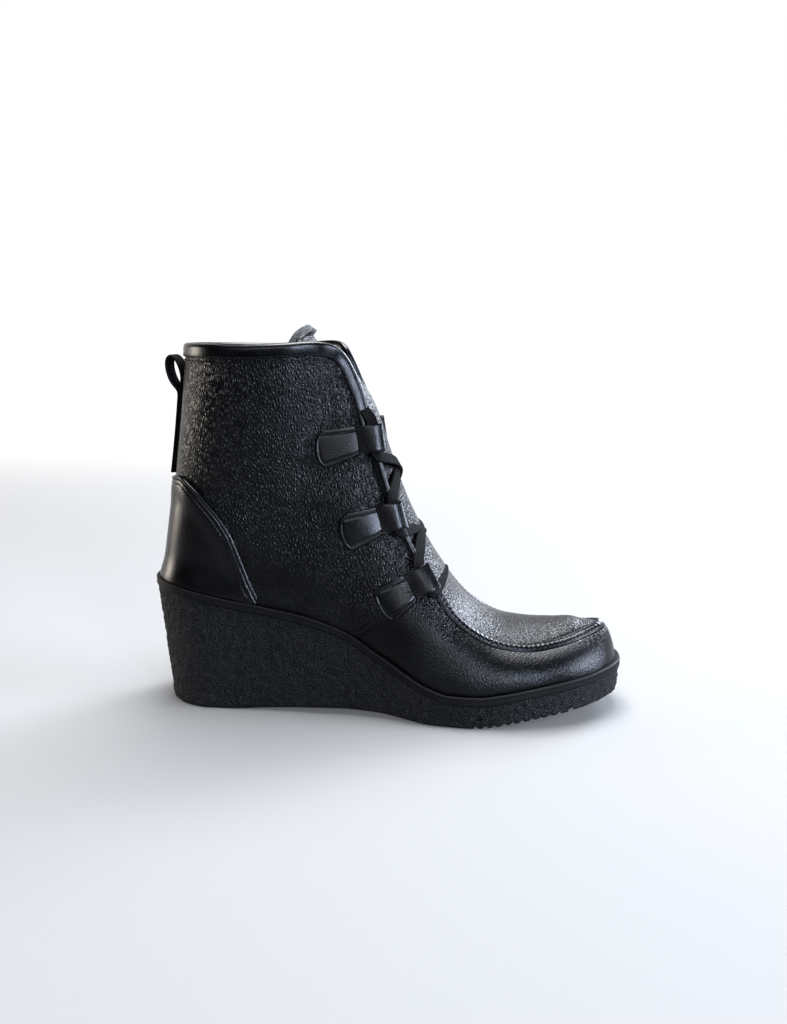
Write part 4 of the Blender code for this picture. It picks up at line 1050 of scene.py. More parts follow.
def build_apron_and_tongue():
    """Grained apron that runs on under the lace as the tongue's face."""
    flange = np.array([0.0085, 0.006, 0.0035, 0.0015])
    across = np.concatenate([-1.0 - flange, np.linspace(-1.0, 1.0, 73), 1.0 + flange[::-1]])
    toe = TOE_STATION - 0.05 * np.linspace(0.0, 1.0, 4)[1:] ** 2
    s = np.concatenate([toe, np.linspace(17.9, 6.0, 300)])
    surface = tongue_surface(s, across)
    side = np.clip(across, -1.0, 1.0)[None, :] * np.ones((len(s), 1))
    surface = surface + tongue_shift(s, np.linspace(-1.0, 1.0, len(across)))
    normal = grid_normals(surface)
    if normal[150, len(across) // 2, 2] < 0.0:
        normal = -normal
    width = np.linalg.norm(edge(s) - edge(-s), axis=-1)[:, None]
    near = (1.0 - np.abs(side)) * width / 2.0
    sink = 0.0005 * (1.0 - smooth(near, 0.0008, 0.0024)) * smooth(s, 12.0, 12.4)[:, None]
    surface = surface - normal * sink[..., None]
    grain = 0.42 + 0.25 * (1.0 - smooth(s, 11.0, 14.0))[:, None] * np.ones_like(near)
    thick = (PANEL_THICKNESS + 0.0006 * (1.0 - smooth(s, 6.0, 8.0)))[:, None, None]
    return sheet("apron_and_tongue", surface[:, ::-1], normal[:, ::-1], thick, "milled",
                 ["tongue"], grain=grain[:, ::-1])


def build_tongue_fleece():
    """Fleece back of the tongue, rolled over its top edge."""
    across = np.linspace(-1.0, 1.0, 49)
    s = np.linspace(11.0, 5.97, 120)
    surface = tongue_surface(s, across) + tongue_shift(s, across)
    normal = grid_normals(surface)
    if normal[60, 24, 0] < 0.0:
        normal = -normal
    roll = 0.0024 * (1.0 - smooth(s, 6.02, 6.22))[:, None, None]
    surface = surface - normal * (FACE_THICKNESS - roll)
    fuzz = 0.0003 * pile(surface, 700.0)[..., None]
    thick = TONGUE_THICKNESS - FACE_THICKNESS + fuzz + roll
    return sheet("tongue_fleece", surface[:, ::-1], normal[:, ::-1], thick[:, ::-1], "fleece")


def build_lining():
    """Fleece inside the quarters and vamp."""
    s = np.linspace(-TOE_STATION, TOE_STATION, 241)[:-1]
    v = np.linspace(0.02, 0.985, 60)
    s, v = np.meshgrid(s, v, indexing="ij")
    base, normal = wall(s, v), wall_normal(s, v)
    thick = (PILE_THICKNESS + PILE_FUZZ * pile(base, 600.0))[..., None]
    return sheet("fleece_lining", base - normal * LINING_DEPTH, normal, thick, "fleece",
                 ring=True)


# Section of the collar binding, down from the edge and out, in millimetres
BINDING_SECTION = ((6.3, -0.6), (6.45, 0.0), (6.3, 0.38), (5.8, 0.58), (4.5, 0.68), (3.0, 0.72),
                   (1.8, 0.70), (0.9, 0.55), (0.2, 0.15), (-0.35, -0.5), (-0.6, -1.4), (-0.35, -2.3),
                   (0.2, -2.95), (0.9, -3.3), (3.0, -3.45), (5.8, -3.35), (6.4, -3.0), (6.2, -2.6))


def build_binding():
    """Calf band rolled over the collar and down the throat to its end seams."""
    s = np.linspace(-BINDING_STATION, BINDING_STATION, 420)
    sections = np.stack(wall_section(s, BINDING_SECTION), axis=1)
    return tube("collar_binding", sections, "calf", ["collar_binding"])


def counter_share(stations):
    """Share of the counter's upper edge on each rib."""
    xs = [LENGTH * x for x in column(COUNTER_COLUMNS, COUNTER, "along")]
    zs = [COLLAR_HEIGHT * z for z in column(COUNTER_COLUMNS, COUNTER, "height")]
    low, high = np.zeros(len(stations)), np.ones(len(stations))
    for turn in range(30):
        middle = 0.5 * (low + high)
        p = wall(stations, middle)
        limit = np.array([curve_value(xs, zs, x, True) for x in p[:, 0]])
        under = p[:, 2] < limit
        low, high = np.where(under, middle, low), np.where(under, high, middle)
    return low


def build_counter():
    """Smooth overlay round the heel with a piped, twice stitched edge."""
    s = np.linspace(-COUNTER_STATION, COUNTER_STATION, 230)
    top = counter_share(s)
    v = np.concatenate([np.linspace(0.0, 0.80, 34), np.linspace(0.81, 1.0, 40)])
    stations, v = np.meshgrid(s, v, indexing="ij")
    share = top[:, None] * v
    base, normal = wall(stations, share), wall_normal(stations, share)
    crest = wall(s, top)
    line = crest[:, None, :] - base
    run = unit(np.gradient(crest, axis=0))[:, None, :]
    gap = np.linalg.norm(line - run * dot(line, run), axis=-1)
    first, second = COUNTER_STITCHES
    lift = 0.0003 + COUNTER_LAP * rounded(gap, 0.0009)
    lift -= 0.00045 * groove(gap, first, 0.00035) + 0.0003 * groove(gap, second, 0.0003)
    lift += 0.00025 * groove(gap, 0.0010, 0.0006) - 0.0007 * smooth(gap, 0.005, 0.016)
    lift += flare(share, stations)
    lift = lift[..., None]
    return sheet("heel_counter", base + normal * lift, normal, lift + 0.0002, "calf",
                 ["heel_counter"])


def build_seam_stitches():
    """Stitch rows: binding, throat, moccasin seam, counter and side seams."""
    lines = []
    collar = np.linspace(-BINDING_STATION + 0.1, BINDING_STATION - 0.1, 500)
    lines.append(wall_line(collar, edge_share(collar, PANEL_UNDER_BINDING), 0.0006))
    lines.append(wall_line(collar, edge_share(collar, PANEL_STITCH), 0.00005))
    back = np.linspace(-COUNTER_STATION + 0.1, COUNTER_STATION - 0.1, 400)
    top = counter_share(back)
    height = np.linalg.norm(wall(back, 1.0) - wall(back, 0.0), axis=1)
    for down in COUNTER_STITCHES:
        lines.append(wall_line(back, np.maximum(0.0, top - down / height), 0.0011))
    for side in (1, -1):
        v = np.linspace(0.02, 0.5, 60)
        for gap in SEAM_STITCHES:
            s = seam_station(v) - gap / STATION_RUN
            lines.append(wall_line(side * s, v * edge_share(side * s, panel_top(s)), 0.0007))
    stitches("seam_stitches", lines, 0.0018, 0.0007, STITCH_PITCH)
    half = np.linspace(BINDING_STATION + 0.15, THROAT_STATION + 0.2, 200)
    around = fold(np.linspace(THROAT_STATION + 0.2, 2 * TOE_STATION - THROAT_STATION - 0.2, 700))
    throat = [(wall_section(s, THROAT_STITCH)[0], wall_normal(s, 1.0)) for s in (half, -half, around)]
    stitches("moccasin_stitches", throat, 0.0016, 0.0008, STITCH_PITCH)


# Tabs and lace

class Tab:
    """Frame of one lace tab: s forward along the strap, b across it, n out of the leather."""

    def __init__(self, row, side):
        value = dict(zip(TAB_COLUMNS, row))
        shift = TAB_SETBACK if side < 0 else 0.0
        self.side = side
        self.root, rear = (np.array((value[end + "_x"] * LENGTH - shift, 0.0,
                                     value[end + "_z"] * COLLAR_HEIGHT)) for end in ("root", "rear"))
        self.length = float(np.linalg.norm(self.root - rear))
        self.forward = unit(self.root - rear)
        lean = math.radians(value["tilt"])
        self.up = np.array((-math.sin(lean), 0.0, math.cos(lean)))
        station, share = surface_at(self.root[0], self.root[2], side)
        self.normal = wall_normal(station, share)
        self.origin = wall(station, share)
        behind = self.root - self.forward * TAB_LEVEL
        self.run = unit(self.origin - wall(*surface_at(behind[0], behind[2], side)))
        self.across = unit(np.cross(self.normal, self.run)) * side
        if self.across[2] < 0.0:
            self.across = -self.across

    def at(self, s, b, n):
        """Points of the tab, from arrays of places."""
        s, b, n = np.broadcast_arrays(np.asarray(s, dtype=float), b, n)
        flat = (self.origin + self.run * s[..., None] + self.across * b[..., None]
                + self.normal * n[..., None])
        wide = b + (b - TAB_WIDTH / 2.0) * TAB_FLARE * np.maximum(0.0, -s) / self.length
        spot = self.root + self.forward * s[..., None] + self.up * wide[..., None]
        station, share = surface_at(spot[..., 0], spot[..., 2], self.side)
        skin = wall(station, share) + wall_normal(station, share) * n[..., None]
        blend = np.clip(1.0 + s / TAB_BLEND, 0.0, 1.0)[..., None]
        return skin * (1.0 - blend) + flat * blend

    def mouth(self, end):
        """Middle of the loop's open end: 1 at the top, -1 at the bottom."""
        return self.at(LOOP_CENTRE, end * TAB_WIDTH / 2.0, LOOP_MIDDLE)


def build_tab(row, side, tab):
    """Stitched patch with a rounded rear, and its strap folded into a loop."""
    word = side_word(side)
    half = TAB_WIDTH / 2.0

    def rear_end(q):
        """Place of the rounded rear edge across the patch."""
        inside = np.maximum(0.0, 1.0 - np.abs(q) ** TAB_ROUNDING)
        return -tab.length + TAB_CORNER * (1.0 - np.sqrt(inside))

    q = np.sin(np.linspace(-math.pi / 2.0, math.pi / 2.0, 41))
    p = 1.0 - np.cos(np.linspace(0.0, math.pi / 2.0, 26))
    p, q = np.meshgrid(p, q, indexing="ij")
    rear = rear_end(q)
    s, b = rear * (1.0 - p), half * q
    gap = np.minimum(half - np.abs(b), np.maximum(s - rear, 0.0))
    thick = 0.0004 + 0.0013 * rounded(gap, 0.0011) - 0.00035 * groove(gap, TAB_STITCH, 0.0004)
    top, low = tab.at(s, b, thick)[:, ::side], tab.at(s, b, 0.0002)[:, ::side]
    points = np.concatenate([top.reshape(-1, 3), low.reshape(-1, 3)])
    new_piece(f"tab_patch_{row[0]}_{word}", points, sheet_faces(*s.shape), "calf",
              [f"tab_{row[0]}_{word}"])
    cross = np.linspace(-1.0, 1.0, 21)
    angles = np.radians(np.linspace(0.0, 360.0, 41)[:-1])
    barrel = 1.0 - 0.10 * cross ** 2
    soft = 1.0 - 0.16 * smooth(np.abs(cross), 0.90, 1.0)
    front = LOOP_CENTRE + LOOP_LENGTH / 2.0 + 0.0010
    outer_x = (front - 0.0016) / 2.0 + (front + 0.0016) / 2.0 * np.cos(angles)
    open_out = smooth(outer_x, -0.003, 0.0085)
    outer_n = 0.0013 + (LOOP_MIDDLE - 0.0013) * open_out
    outer_n = outer_n + (0.0010 + (LOOP_HEIGHT / 2.0 - 0.0010) * open_out) * np.sin(angles)
    hole_x = (front + 0.0022) / 2.0 + (front - 0.0046) / 2.0 * np.cos(angles)
    hole_n = (LOOP_HEIGHT / 2.0 - 0.0012) * np.sin(angles) * (0.75 + 0.25 * np.cos(angles))
    hole_n = LOOP_MIDDLE + hole_n
    size = (barrel * soft)[:, None]
    place_b = half * cross[:, None]
    outer = tab.at(outer_x, place_b, LOOP_MIDDLE + (outer_n - LOOP_MIDDLE) * size)[::side]
    hole = tab.at(hole_x, place_b, hole_n)[::side]
    points = np.concatenate([outer.reshape(-1, 3), hole.reshape(-1, 3)])
    n = len(cross) * len(angles)
    faces = []
    for c in range(len(cross) - 1):
        for r in range(len(angles)):
            k = (r + 1) % len(angles)
            a, d = c * len(angles), (c + 1) * len(angles)
            faces.append((a + r, d + r, d + k, a + k))
            faces.append((n + a + k, n + d + k, n + d + r, n + a + r))
    for c, turn in ((0, 1), (len(cross) - 1, -1)):
        a = c * len(angles)
        for r in range(len(angles)):
            k = (r + 1) % len(angles)
            face = (a + r, a + k, n + a + k, n + a + r)
            faces.append(face[::turn])
    new_piece(f"tab_loop_{row[0]}_{word}", points, faces, "calf")
    rim_q = np.linspace(-1.0, 1.0, 60)
    rim_rear = rear_end(rim_q) + TAB_STITCH
    rim_b = (half - TAB_STITCH) * rim_q
    run_s = np.linspace(-0.001, 1.0, 30)
    first_s, last_s = rim_rear[0] * run_s, rim_rear[-1] * run_s[::-1]
    line_s = np.concatenate([first_s, rim_rear[1:-1], last_s])
    line_b = np.concatenate([np.full(30, rim_b[0]), rim_b[1:-1], np.full(30, rim_b[-1])])
    line = tab.at(line_s, line_b, 0.0014)
    under = tab.at(line_s, line_b, 0.0)
    return line, unit(line - under)


def strand(tab_a, end_a, tab_b, end_b, lift):
    """Lace over the tongue from one loop to another: points and normals."""
    leave, arrive = tab_a.across * end_a, tab_b.across * end_b
    start = tab_a.mouth(end_a) + leave * LACE_STRAIGHT
    finish = tab_b.mouth(end_b) + arrive * LACE_STRAIGHT
    toward = unit(finish - start)
    leave = unit(leave * (1.0 - LACE_TURN) + toward * LACE_TURN)
    arrive = unit(arrive * (1.0 - LACE_TURN) - toward * LACE_TURN)
    reach = min(0.35 * float(np.linalg.norm(finish - start)), LACE_BEND)
    out = unit(tab_a.normal + tab_b.normal)
    u = np.linspace(0.0, 1.0, 41)[:, None]
    path = bezier(start, start + leave * reach, finish + arrive * reach, finish, u)
    path = path + out * lift * 16.0 * u ** 2 * (1.0 - u) ** 2
    bend = (tab_a.normal * np.maximum(0.0, 1.0 - 2.0 * u) + out * (1.0 - np.abs(2.0 * u - 1.0))
            + tab_b.normal * np.maximum(0.0, 2.0 * u - 1.0))
    return path, unit(bend)


def tucked_end(tab):
    """The lace above a top loop, which turns in behind the quarter's edge."""
    q = np.linspace(0.0, 1.0, 14)[:, None]
    start = tab.mouth(1)
    path = (start + tab.across * 0.0135 * q - tab.normal * 0.0100 * q ** 2
            - tab.run * 0.0065 * q ** 1.6)
    lean = unit(tab.normal + tab.across * 1.1 * q ** 1.5)
    return path[::-1], lean[::-1]


def ribbon(name, path, normals, width, thickness, ribs, finish, nodes):
    """Ribbed band along a path; its UV map is in metres."""
    run = unit(np.gradient(path, axis=0))
    side = unit(np.cross(run, normals))
    up = np.cross(side, run)
    across = np.linspace(-1.0, 1.0, 6 * ribs + 1)
    edge_round = rounded(1.0 - np.abs(across), 0.14)
    rib = 0.00012 * np.cos(math.pi * ribs * across)
    high = thickness / 2.0 * (0.25 + 0.75 * edge_round) + rib * edge_round
    section = np.concatenate([np.stack([across * width / 2.0, high], axis=1),
                              np.stack([across[::-1] * width / 2.0, -high], axis=1)])
    section = section[::-1]
    sections = (path[:, None, :] + side[:, None, :] * section[None, :, :1]
                + up[:, None, :] * section[None, :, 1:])
    uv = np.stack(np.broadcast_arrays(run_length(path)[:, None], section[None, :, 0]), axis=-1)
    return tube(name, sections, finish, nodes, uv=uv.reshape(-1, 2))


def build_lace(tabs):
    """One flat elastic lace through all six loops, its ends tucked in at the top."""
    sizes = bpy.context.scene.boot_sizes
    low, middle, top = "low", "middle", "top"
    over = 0.85 * sizes.lace_thickness
    route = [
        tucked_end(tabs[top, 1]),
        strand(tabs[top, 1], -1, tabs[middle, -1], 1, LACE_LIFTS[2] + over),
        strand(tabs[middle, -1], -1, tabs[low, 1], 1, LACE_LIFTS[1] + over),
        strand(tabs[low, 1], -1, tabs[low, -1], -1, LACE_LIFTS[0]),
        strand(tabs[low, -1], 1, tabs[middle, 1], -1, LACE_LIFTS[1] - 0.2 * over),
        strand(tabs[middle, 1], 1, tabs[top, -1], -1, LACE_LIFTS[2] - 0.2 * over),
    ]
    end_path, end_normals = tucked_end(tabs[top, -1])
    route.append((end_path[::-1], end_normals[::-1]))
    path = np.concatenate([points for points, normals in route])
    normals = np.concatenate([normals for points, normals in route])
    index = resample(path, 0.0012)
    path, normals = soften(pick(path, index), 2), unit(pick(normals, index))
    print(f"Lace length {run_length(path)[-1] / MM:.0f} mm")
    return ribbon("elastic_lace", path, normals, sizes.lace_width, sizes.lace_thickness, LACE_RIBS,
                  "elastic",
                  ["lace_bar", "lace_crossing_1", "lace_crossing_2", "lace_end_outer", "lace_end_inner"])


def build_pull_loop():
    """Tape strap up the back seam, with a teardrop loop that stands clear behind."""
    counter_top = counter_share(np.array([0.0]))[0]
    start = wall(0.0, counter_top)[2] + 0.0012
    heights = np.linspace(start, STRAP_TOP, 40)
    shares = np.linspace(0.0, 1.0, 400)
    back = wall(np.zeros(400), shares)
    share = np.interp(heights, back[:, 2], shares)
    spine = wall(np.zeros(40), share)
    outward = np.array((-1.0, 0.0, 0.0))
    outer_leg = spine + outward * 0.0021
    inner_leg = spine + outward * 0.0007
    root = spine[-1] + outward * 0.0022
    turn = np.radians(np.linspace(-70.0, 250.0, 60))
    z = LOOP_RISE * (0.55 + 0.45 * np.sin(turn))
    x = (LOOP_GAPE / 2.0 - 0.0008) * np.cos(turn) + LOOP_LEAN * z
    loop = np.stack([root[0] + x, np.zeros(60), root[2] + z], axis=1)
    path = np.concatenate([inner_leg, loop, outer_leg[::-1]])
    path = soften(pick(path, resample(path, 0.0010)), 4)
    run = unit(np.gradient(path, axis=0))
    normals = np.stack([-run[:, 2], np.zeros(len(path)), run[:, 0]], axis=1)
    return ribbon("pull_loop_tape", path, normals, TAPE_WIDTH, TAPE_THICKNESS, TAPE_RIBS, "tape",
                  ["pull_loop"])


# Sole

def ring_alongs():
    """Shares of LENGTH from heel to toe, close together in the two rounds."""
    heel = HEEL_CAP * (1.0 - np.cos(np.linspace(0.0, math.pi / 2.0, 60)))
    middle = np.arange(HEEL_CAP, 1.0 - TOE_CAP, 0.0009 / LENGTH)[1:]
    toe = 1.0 - TOE_CAP * (1.0 - np.sin(np.linspace(0.0, math.pi / 2.0, 110)))
    return np.concatenate([heel, middle, toe])


def outline_ring():
    """Rand edge all round, heel to toe on the outer side and back, with outward directions."""
    alongs = ring_alongs()
    outer = np.array([outline_point(a, -1.0) for a in alongs])
    inner = np.array([outline_point(a, 1.0) for a in alongs])
    ring = np.concatenate([outer, inner[-2:0:-1]])
    d = np.roll(ring, -1, axis=0) - np.roll(ring, 1, axis=0)
    out = unit(np.stack([d[:, 1], -d[:, 0], np.zeros(len(ring))], axis=1))
    return ring, out


# Section of the rand, outwards from the sole's edge and up from its top, in millimetres
RAND_SECTION = ((-9.0, -0.3), (-3.9, -0.05), (-3.4, 0.0), (-1.6, 0.05), (-0.9, 0.30), (-0.35, 0.25),
                (0.0, -0.15), (0.10, -0.55), (-0.10, -0.95), (-0.05, -2.2), (0.0, -3.4),
                (-0.15, -3.9), (-0.55, -4.3), (-1.2, -4.6), (-9.0, -4.6))
TICK_PITCH = 0.0021
TICK_DEPTH = 0.00010


def build_rand():
    """Smooth band with a ticked lip at its top and a ledge that the upper stands on."""
    ring, out = outline_ring()
    ticks = TICK_DEPTH * np.sin(2.0 * math.pi * run_length(ring) / TICK_PITCH)
    rows = []
    for reach, height in RAND_SECTION:
        p = ring + out * reach * MM
        p[:, 2] = rand_top(ring[:, 0]) + height * MM
        if -1.7 < reach < 0.05 and height > -0.5:
            p[:, 2] += ticks
        rows.append(p)
    sections = np.stack(rows, axis=1)[:, ::-1]
    return tube("rand_band", sections, "band", ["rand"], ring=True)


def build_wedge():
    """Crepe wedge with crumbs of rubber in relief and the tread cut into its edge."""
    alongs = ring_alongs()
    side_rows, floor_rows = 46, 26
    outer = np.array([outline_point(a, -1.0) for a in alongs])
    inner = np.array([outline_point(a, 1.0) for a in alongs])
    ring, out = outline_ring()
    count = len(alongs)
    out_outer = out[:count]
    out_inner = np.concatenate([out[:1], out[:count - 2:-1][:count - 2], out[count - 1:count]])
    top_gap = RAND_THICKNESS - WEDGE_OVERLAP
    down = np.linspace(0.0, 1.0, side_rows)
    sections = []
    for k, along in enumerate(alongs):
        rows = []
        heel = max(0.0, 1.0 - along / HEEL_CAP)
        tuck = SIDE_TUCK + (HEEL_TUCK - SIDE_TUCK) * heel
        for line, outs, order in ((outer, out_outer, down), (inner, out_inner, down[::-1])):
            edge_side = []
            for share in order:
                p = line[k] - outs[k] * (WEDGE_INSET + share * tuck)
                top = rand_top(p[0]) - top_gap
                bottom = sole_bottom(p[0])
                z = top + (bottom - top) * share
                corner = max(0.0, SOLE_ROUND - (z - bottom)) / SOLE_ROUND
                p = p - outs[k] * SOLE_ROUND_DEPTH * corner ** 2
                edge_side.append((p[0], p[1], z))
            rows.append(edge_side)
        a, b = np.array(rows[0][-1]), np.array(rows[1][0])
        t = np.linspace(0.0, 1.0, floor_rows + 2)[1:-1, None]
        floor_line = a * (1.0 - t) + b * t
        c, d = np.array(rows[1][-1]), np.array(rows[0][0])
        t = np.linspace(0.0, 1.0, 6)[1:-1, None]
        top_line = c * (1.0 - t) + d * t
        sections.append(np.concatenate([rows[0], floor_line, rows[1], top_line]))
    sections = np.array(sections)
    x, z = sections[..., 0], sections[..., 2]
    share = x / LENGTH
    bottom = sole_bottom(x)
    phase = (share - TREAD_START) * LENGTH / TOOTH_PITCH % 1.0
    tooth = smooth(phase, 0.52, 0.66) * (1.0 - smooth(phase, 0.94, 1.0))
    tooth = tooth * (share > TREAD_START) * (share < TREAD_END) * TOOTH_DEPTH
    notch = NOTCH_DEPTH * smooth(share, NOTCH_START, NOTCH_START + NOTCH_EASE)
    notch = notch * (1.0 - smooth(share, NOTCH_END - NOTCH_EASE, NOTCH_END))
    low = 1.0 - smooth(z - bottom, 0.0, 0.0022)
    sections[..., 2] += (tooth + notch) * low
    around = np.roll(sections, -1, axis=1) - np.roll(sections, 1, axis=1)
    normal = unit(np.cross(np.gradient(sections, axis=0), around))
    if normal[200, 20, 1] > 0.0:
        normal = -normal
    large, small = CRUMB_SCALES
    crumbs = pile(sections, large) + 0.6 * pile(sections, small)
    shown = smooth(rand_top(x) - top_gap - z, 0.0003, 0.0016) * smooth(z - bottom, -0.0001, 0.0012)
    shown = shown * smooth(share, 0.0, 0.002) * (1.0 - smooth(share, 0.997, 0.9995))
    sections += normal * (CRUMB_DEPTH * crumbs * shown)[..., None]
    return tube("crepe_wedge", sections[::-1], "crepe", ["wedge_sole"], sharp=70.0)


def build_insole():
    """Fleece sock on its board, slightly dished."""
    ring, out = outline_ring()
    inset = LEDGE + UPPER_WALL + 0.0006
    count = (len(ring) + 2) // 2
    outer = ring[:count] - out[:count] * inset
    inner, inner_out = (np.concatenate([line[:1], line[:count - 1:-1], line[count - 1:count]])
                        for line in (ring, out))
    inner = inner - inner_out * inset
    t = np.linspace(0.0, 1.0, 31)[None, :, None]
    top = outer[:, None, :] * (1.0 - t) + inner[:, None, :] * t
    keep = slice(8, count - 10)
    top = top[keep]
    j = np.linspace(0.0, 1.0, 31)[None, :]
    dish = 0.0006 * (2.0 * j - 1.0) ** 2 - 0.0010 * (1.0 - rounded(j, 0.04) * rounded(1.0 - j, 0.04))
    top[..., 2] = rand_top(top[..., 0]) + CLEARANCE + INSOLE_THICKNESS + dish
    up = np.zeros_like(top)
    up[..., 2] = 1.0
    return sheet("sock", top, up, 0.0032, "fleece", ["insole"])


# Studio

def add_light(name, place_at, width, height, power, colour):
    """A soft box that faces the boot."""
    data = bpy.data.lights.new(name, "AREA")
    data.shape = "RECTANGLE"
    data.size, data.size_y = width, height
    data.energy = power
    data.color = linear(colour)
    lamp = bpy.data.objects.new(name, data)
    lamp.location = place_at
    facing = Vector(LIGHT_TARGET) - Vector(place_at)
    lamp.rotation_euler = facing.to_track_quat("-Z", "Y").to_euler()
    bpy.context.scene.collection.objects.link(lamp)


def build_backdrop():
    """Pale paper floor that curves up behind and glows there, as if lit on its own."""
    scene = bpy.context.scene
    colours = scene.boot_colours
    material, tree, shader = plain("pale_paper", colours.paper, 0.9, Emission_Strength=1.0)
    place_node = add(tree, "ShaderNodeTexCoord")
    away = add(tree, "ShaderNodeSeparateXYZ", links=[("Vector", place_node.outputs["Object"])])
    far = add(tree, "ShaderNodeMapRange", [("From Min", GLOW_START), ("From Max", GLOW_END)],
              [("Value", away.outputs["Y"])], interpolation_type="SMOOTHSTEP")
    for socket, near_value, far_value in (("Base Color", colours.paper, (0.0, 0.0, 0.0)),
                                          ("Emission Color", GLOW_NEAR, GLOW_FAR)):
        mixed = add(tree, "ShaderNodeMix", [("A", (*near_value, 1.0)), ("B", (*far_value, 1.0))],
                    [("Factor", far.outputs["Result"])], data_type="RGBA")
        tree.links.new(mixed.outputs["Result"], shader.inputs[socket])
    fibre = add(tree, "ShaderNodeTexNoise", [("Scale", 400.0)], [("Vector", place_node.outputs["Object"])])
    bump = add(tree, "ShaderNodeBump", [("Strength", 0.03), ("Distance", 0.0002)],
               [("Height", fibre.outputs["Fac"])])
    tree.links.new(bump.outputs["Normal"], shader.inputs["Normal"])
    profile = [(BACKDROP_FRONT, 0.0), (BACKDROP_DEPTH, 0.0)]
    for k in range(1, BACKDROP_STEPS + 1):
        a = math.pi / 2.0 * k / BACKDROP_STEPS
        profile.append((BACKDROP_DEPTH + BACKDROP_RADIUS * math.sin(a),
                        BACKDROP_RADIUS * (1.0 - math.cos(a))))
    profile.append((BACKDROP_DEPTH + BACKDROP_RADIUS, BACKDROP_RISE))
    points = [(x, y, z) for y, z in profile for x in (-BACKDROP_SPAN, BACKDROP_SPAN)]
    faces = [(2 * k, 2 * k + 1, 2 * k + 3, 2 * k + 2) for k in range(len(profile) - 1)]
    mesh = bpy.data.meshes.new("backdrop")
    mesh.from_pydata(points, [], faces)
    mesh.shade_smooth()
    mesh.materials.append(material)
    floor = bpy.data.objects.new("backdrop", mesh)
    scene.collection.objects.link(floor)


def build_camera():
    """Camera where the photo was taken from, level across and dipped to the boot."""
    dip = math.atan((FRAME_HEIGHT / 2.0 - HORIZON_ROW) / FOCAL_PIXELS)
    data = bpy.data.cameras.new("camera")
    data.sensor_width = SENSOR
    data.lens = FOCAL_PIXELS / FRAME_HEIGHT * data.sensor_width
    camera = bpy.data.objects.new("camera", data)
    camera.location = (CAMERA_AIM + CAMERA_DISTANCE * math.sin(CAMERA_YAW) - HEEL_SEAT,
                       -CAMERA_DISTANCE * math.cos(CAMERA_YAW), CAMERA_HEIGHT)
    ahead = Vector((-math.sin(CAMERA_YAW) * math.cos(dip), math.cos(CAMERA_YAW) * math.cos(dip),
                    -math.sin(dip)))
    camera.rotation_euler = ahead.to_track_quat("-Z", "Y").to_euler()
    bpy.context.scene.collection.objects.link(camera)
    bpy.context.scene.camera = camera


def build_studio():
    """Backdrop, dim sky, soft boxes and the camera."""
    scene = bpy.context.scene
    build_backdrop()
    world = bpy.data.worlds.new("studio")
    world.use_nodes = True
    sky = world.node_tree.nodes["Background"]
    sky.inputs["Color"].default_value = (*linear(SKY), 1.0)
    sky.inputs["Strength"].default_value = SKY_STRENGTH
    scene.world = world
    for row in LIGHTS:
        add_light(*row)
    scene.view_settings.view_transform = "Standard"
    scene.view_settings.look = "High Contrast"
    build_camera()


# Add-on

class BootSizes(bpy.types.PropertyGroup):
    """Sizes that a user would change."""
    lace_width: bpy.props.FloatProperty(name="Lace width", description="Flat width of the elastic lace",
                                        default=0.0056, unit="LENGTH")
    lace_thickness: bpy.props.FloatProperty(name="Lace thickness", description="Thickness of the elastic lace",
                                            default=0.0014, unit="LENGTH")
    pebble: bpy.props.FloatProperty(name="Pebble", description="Width of one pebble of the grained leather",
                                    default=0.0015, unit="LENGTH")


class BootColours(bpy.types.PropertyGroup):
    """Colours that a user would change, in linear light."""
    leather: bpy.props.FloatVectorProperty(name="Leather", description="Black aniline leather",
                                           default=linear("#0d0e11"), subtype="COLOR")
    rubber: bpy.props.FloatVectorProperty(name="Rubber", description="Black crepe and moulded rubber",
                                          default=linear("#2a2b2d"), subtype="COLOR")
    webbing: bpy.props.FloatVectorProperty(name="Webbing", description="Lace and pull loop",
                                           default=linear("#232325"), subtype="COLOR")
    fleece: bpy.props.FloatVectorProperty(name="Fleece", description="Lining and tongue back",
                                          default=linear("#15161a"), subtype="COLOR")
    thread: bpy.props.FloatVectorProperty(name="Thread", description="Waxed thread of the seams",
                                          default=linear("#1b1c1f"), subtype="COLOR")
    paper: bpy.props.FloatVectorProperty(name="Paper", description="Floor and backdrop",
                                         default=linear("#8a8a8a"), subtype="COLOR")


class BOOT_OT_upper(bpy.types.Operator):
    """Build the quarters, vamp, moccasin seam, apron, tongue and lining"""
    bl_idname = "boot.upper"
    bl_label = "Upper"

    def execute(self, context):
        build_quarters()
        build_vamp()
        build_throat_edge(1)
        build_throat_edge(-1)
        build_moccasin_seam()
        build_apron_and_tongue()
        build_tongue_fleece()
        build_lining()
        return {"FINISHED"}


class BOOT_OT_trims(bpy.types.Operator):
    """Build the collar binding, heel counter and stitch rows"""
    bl_idname = "boot.trims"
    bl_label = "Binding, counter and stitches"

    def execute(self, context):
        build_binding()
        build_counter()
        build_seam_stitches()
        return {"FINISHED"}


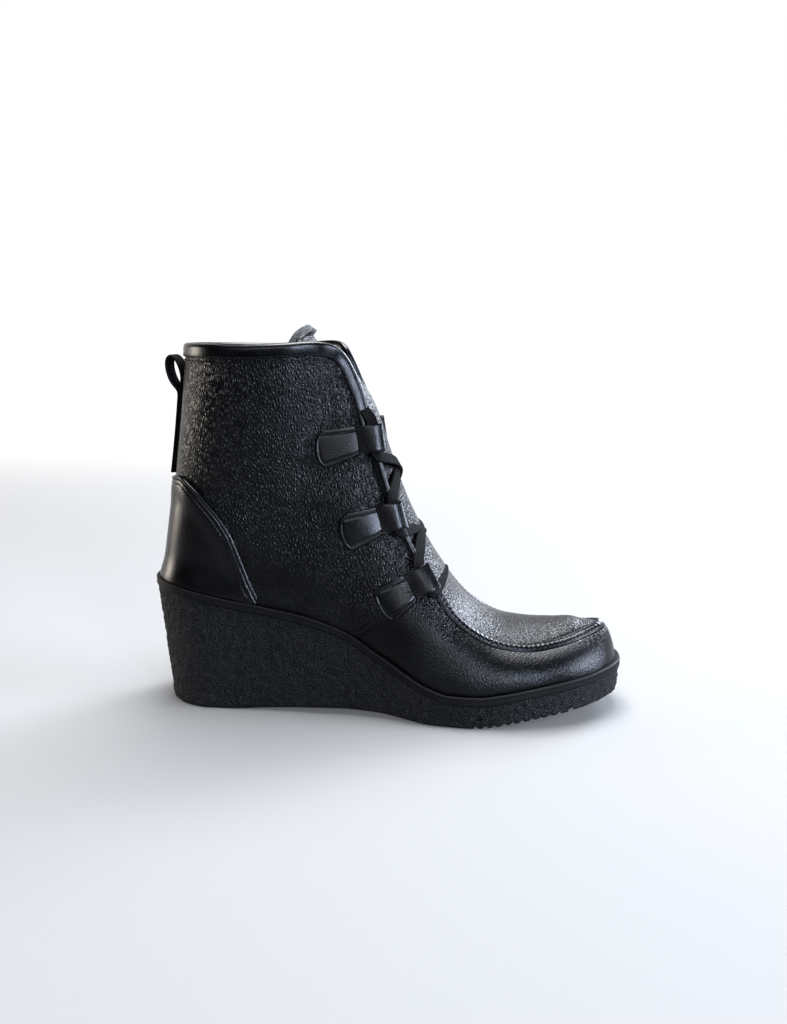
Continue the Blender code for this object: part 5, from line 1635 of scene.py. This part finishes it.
class BOOT_OT_lacing(bpy.types.Operator):
    """Build the looped tabs, the lace through them and the pull loop"""
    bl_idname = "boot.lacing"
    bl_label = "Tabs, lace and pull loop"

    def execute(self, context):
        tabs = {(row[0], side): Tab(row, side) for row in TABS for side in (1, -1)}
        rims = [build_tab(row, side, tabs[row[0], side]) for row in TABS for side in (1, -1)]
        stitches("tab_stitches", rims, 0.0015, 0.0006, 0.0023)
        build_lace(tabs)
        build_pull_loop()
        return {"FINISHED"}


class BOOT_OT_sole(bpy.types.Operator):
    """Build the rand, the crepe wedge and the sock"""
    bl_idname = "boot.sole"
    bl_label = "Sole"

    def execute(self, context):
        build_rand()
        build_wedge()
        build_insole()
        return {"FINISHED"}


class BOOT_OT_studio(bpy.types.Operator):
    """Build the floor, lights and camera"""
    bl_idname = "boot.studio"
    bl_label = "Studio"

    def execute(self, context):
        build_studio()
        return {"FINISHED"}


class BOOT_PT_panel(bpy.types.Panel):
    """Lists the boot's pieces in the sidebar"""
    bl_idname = "BOOT_PT_panel"
    bl_label = "Wedge ankle boot"
    bl_space_type = "VIEW_3D"
    bl_region_type = "UI"
    bl_category = "Boot"

    def draw(self, context):
        for operator in OPERATORS:
            self.layout.operator(operator.bl_idname)
        for group in (context.scene.boot_sizes, context.scene.boot_colours):
            for name in group.bl_rna.properties.keys():
                if name not in ("rna_type", "name"):
                    self.layout.prop(group, name)


OPERATORS = (BOOT_OT_studio, BOOT_OT_upper, BOOT_OT_trims, BOOT_OT_lacing, BOOT_OT_sole)
CLASSES = (BootSizes, BootColours) + OPERATORS + (BOOT_PT_panel,)


def register():
    """Registers the classes and the scene's settings."""
    for kind in CLASSES:
        bpy.utils.register_class(kind)
    bpy.types.Scene.boot_sizes = bpy.props.PointerProperty(type=BootSizes)
    bpy.types.Scene.boot_colours = bpy.props.PointerProperty(type=BootColours)


def unregister():
    """Removes the classes and the scene's settings."""
    del bpy.types.Scene.boot_colours
    del bpy.types.Scene.boot_sizes
    for kind in reversed(CLASSES):
        bpy.utils.unregister_class(kind)


def main():
    register()
    bpy.ops.boot.studio()
    bpy.ops.boot.upper()
    bpy.ops.boot.trims()
    bpy.ops.boot.lacing()
    bpy.ops.boot.sole()


if __name__ == "__main__":
    main()
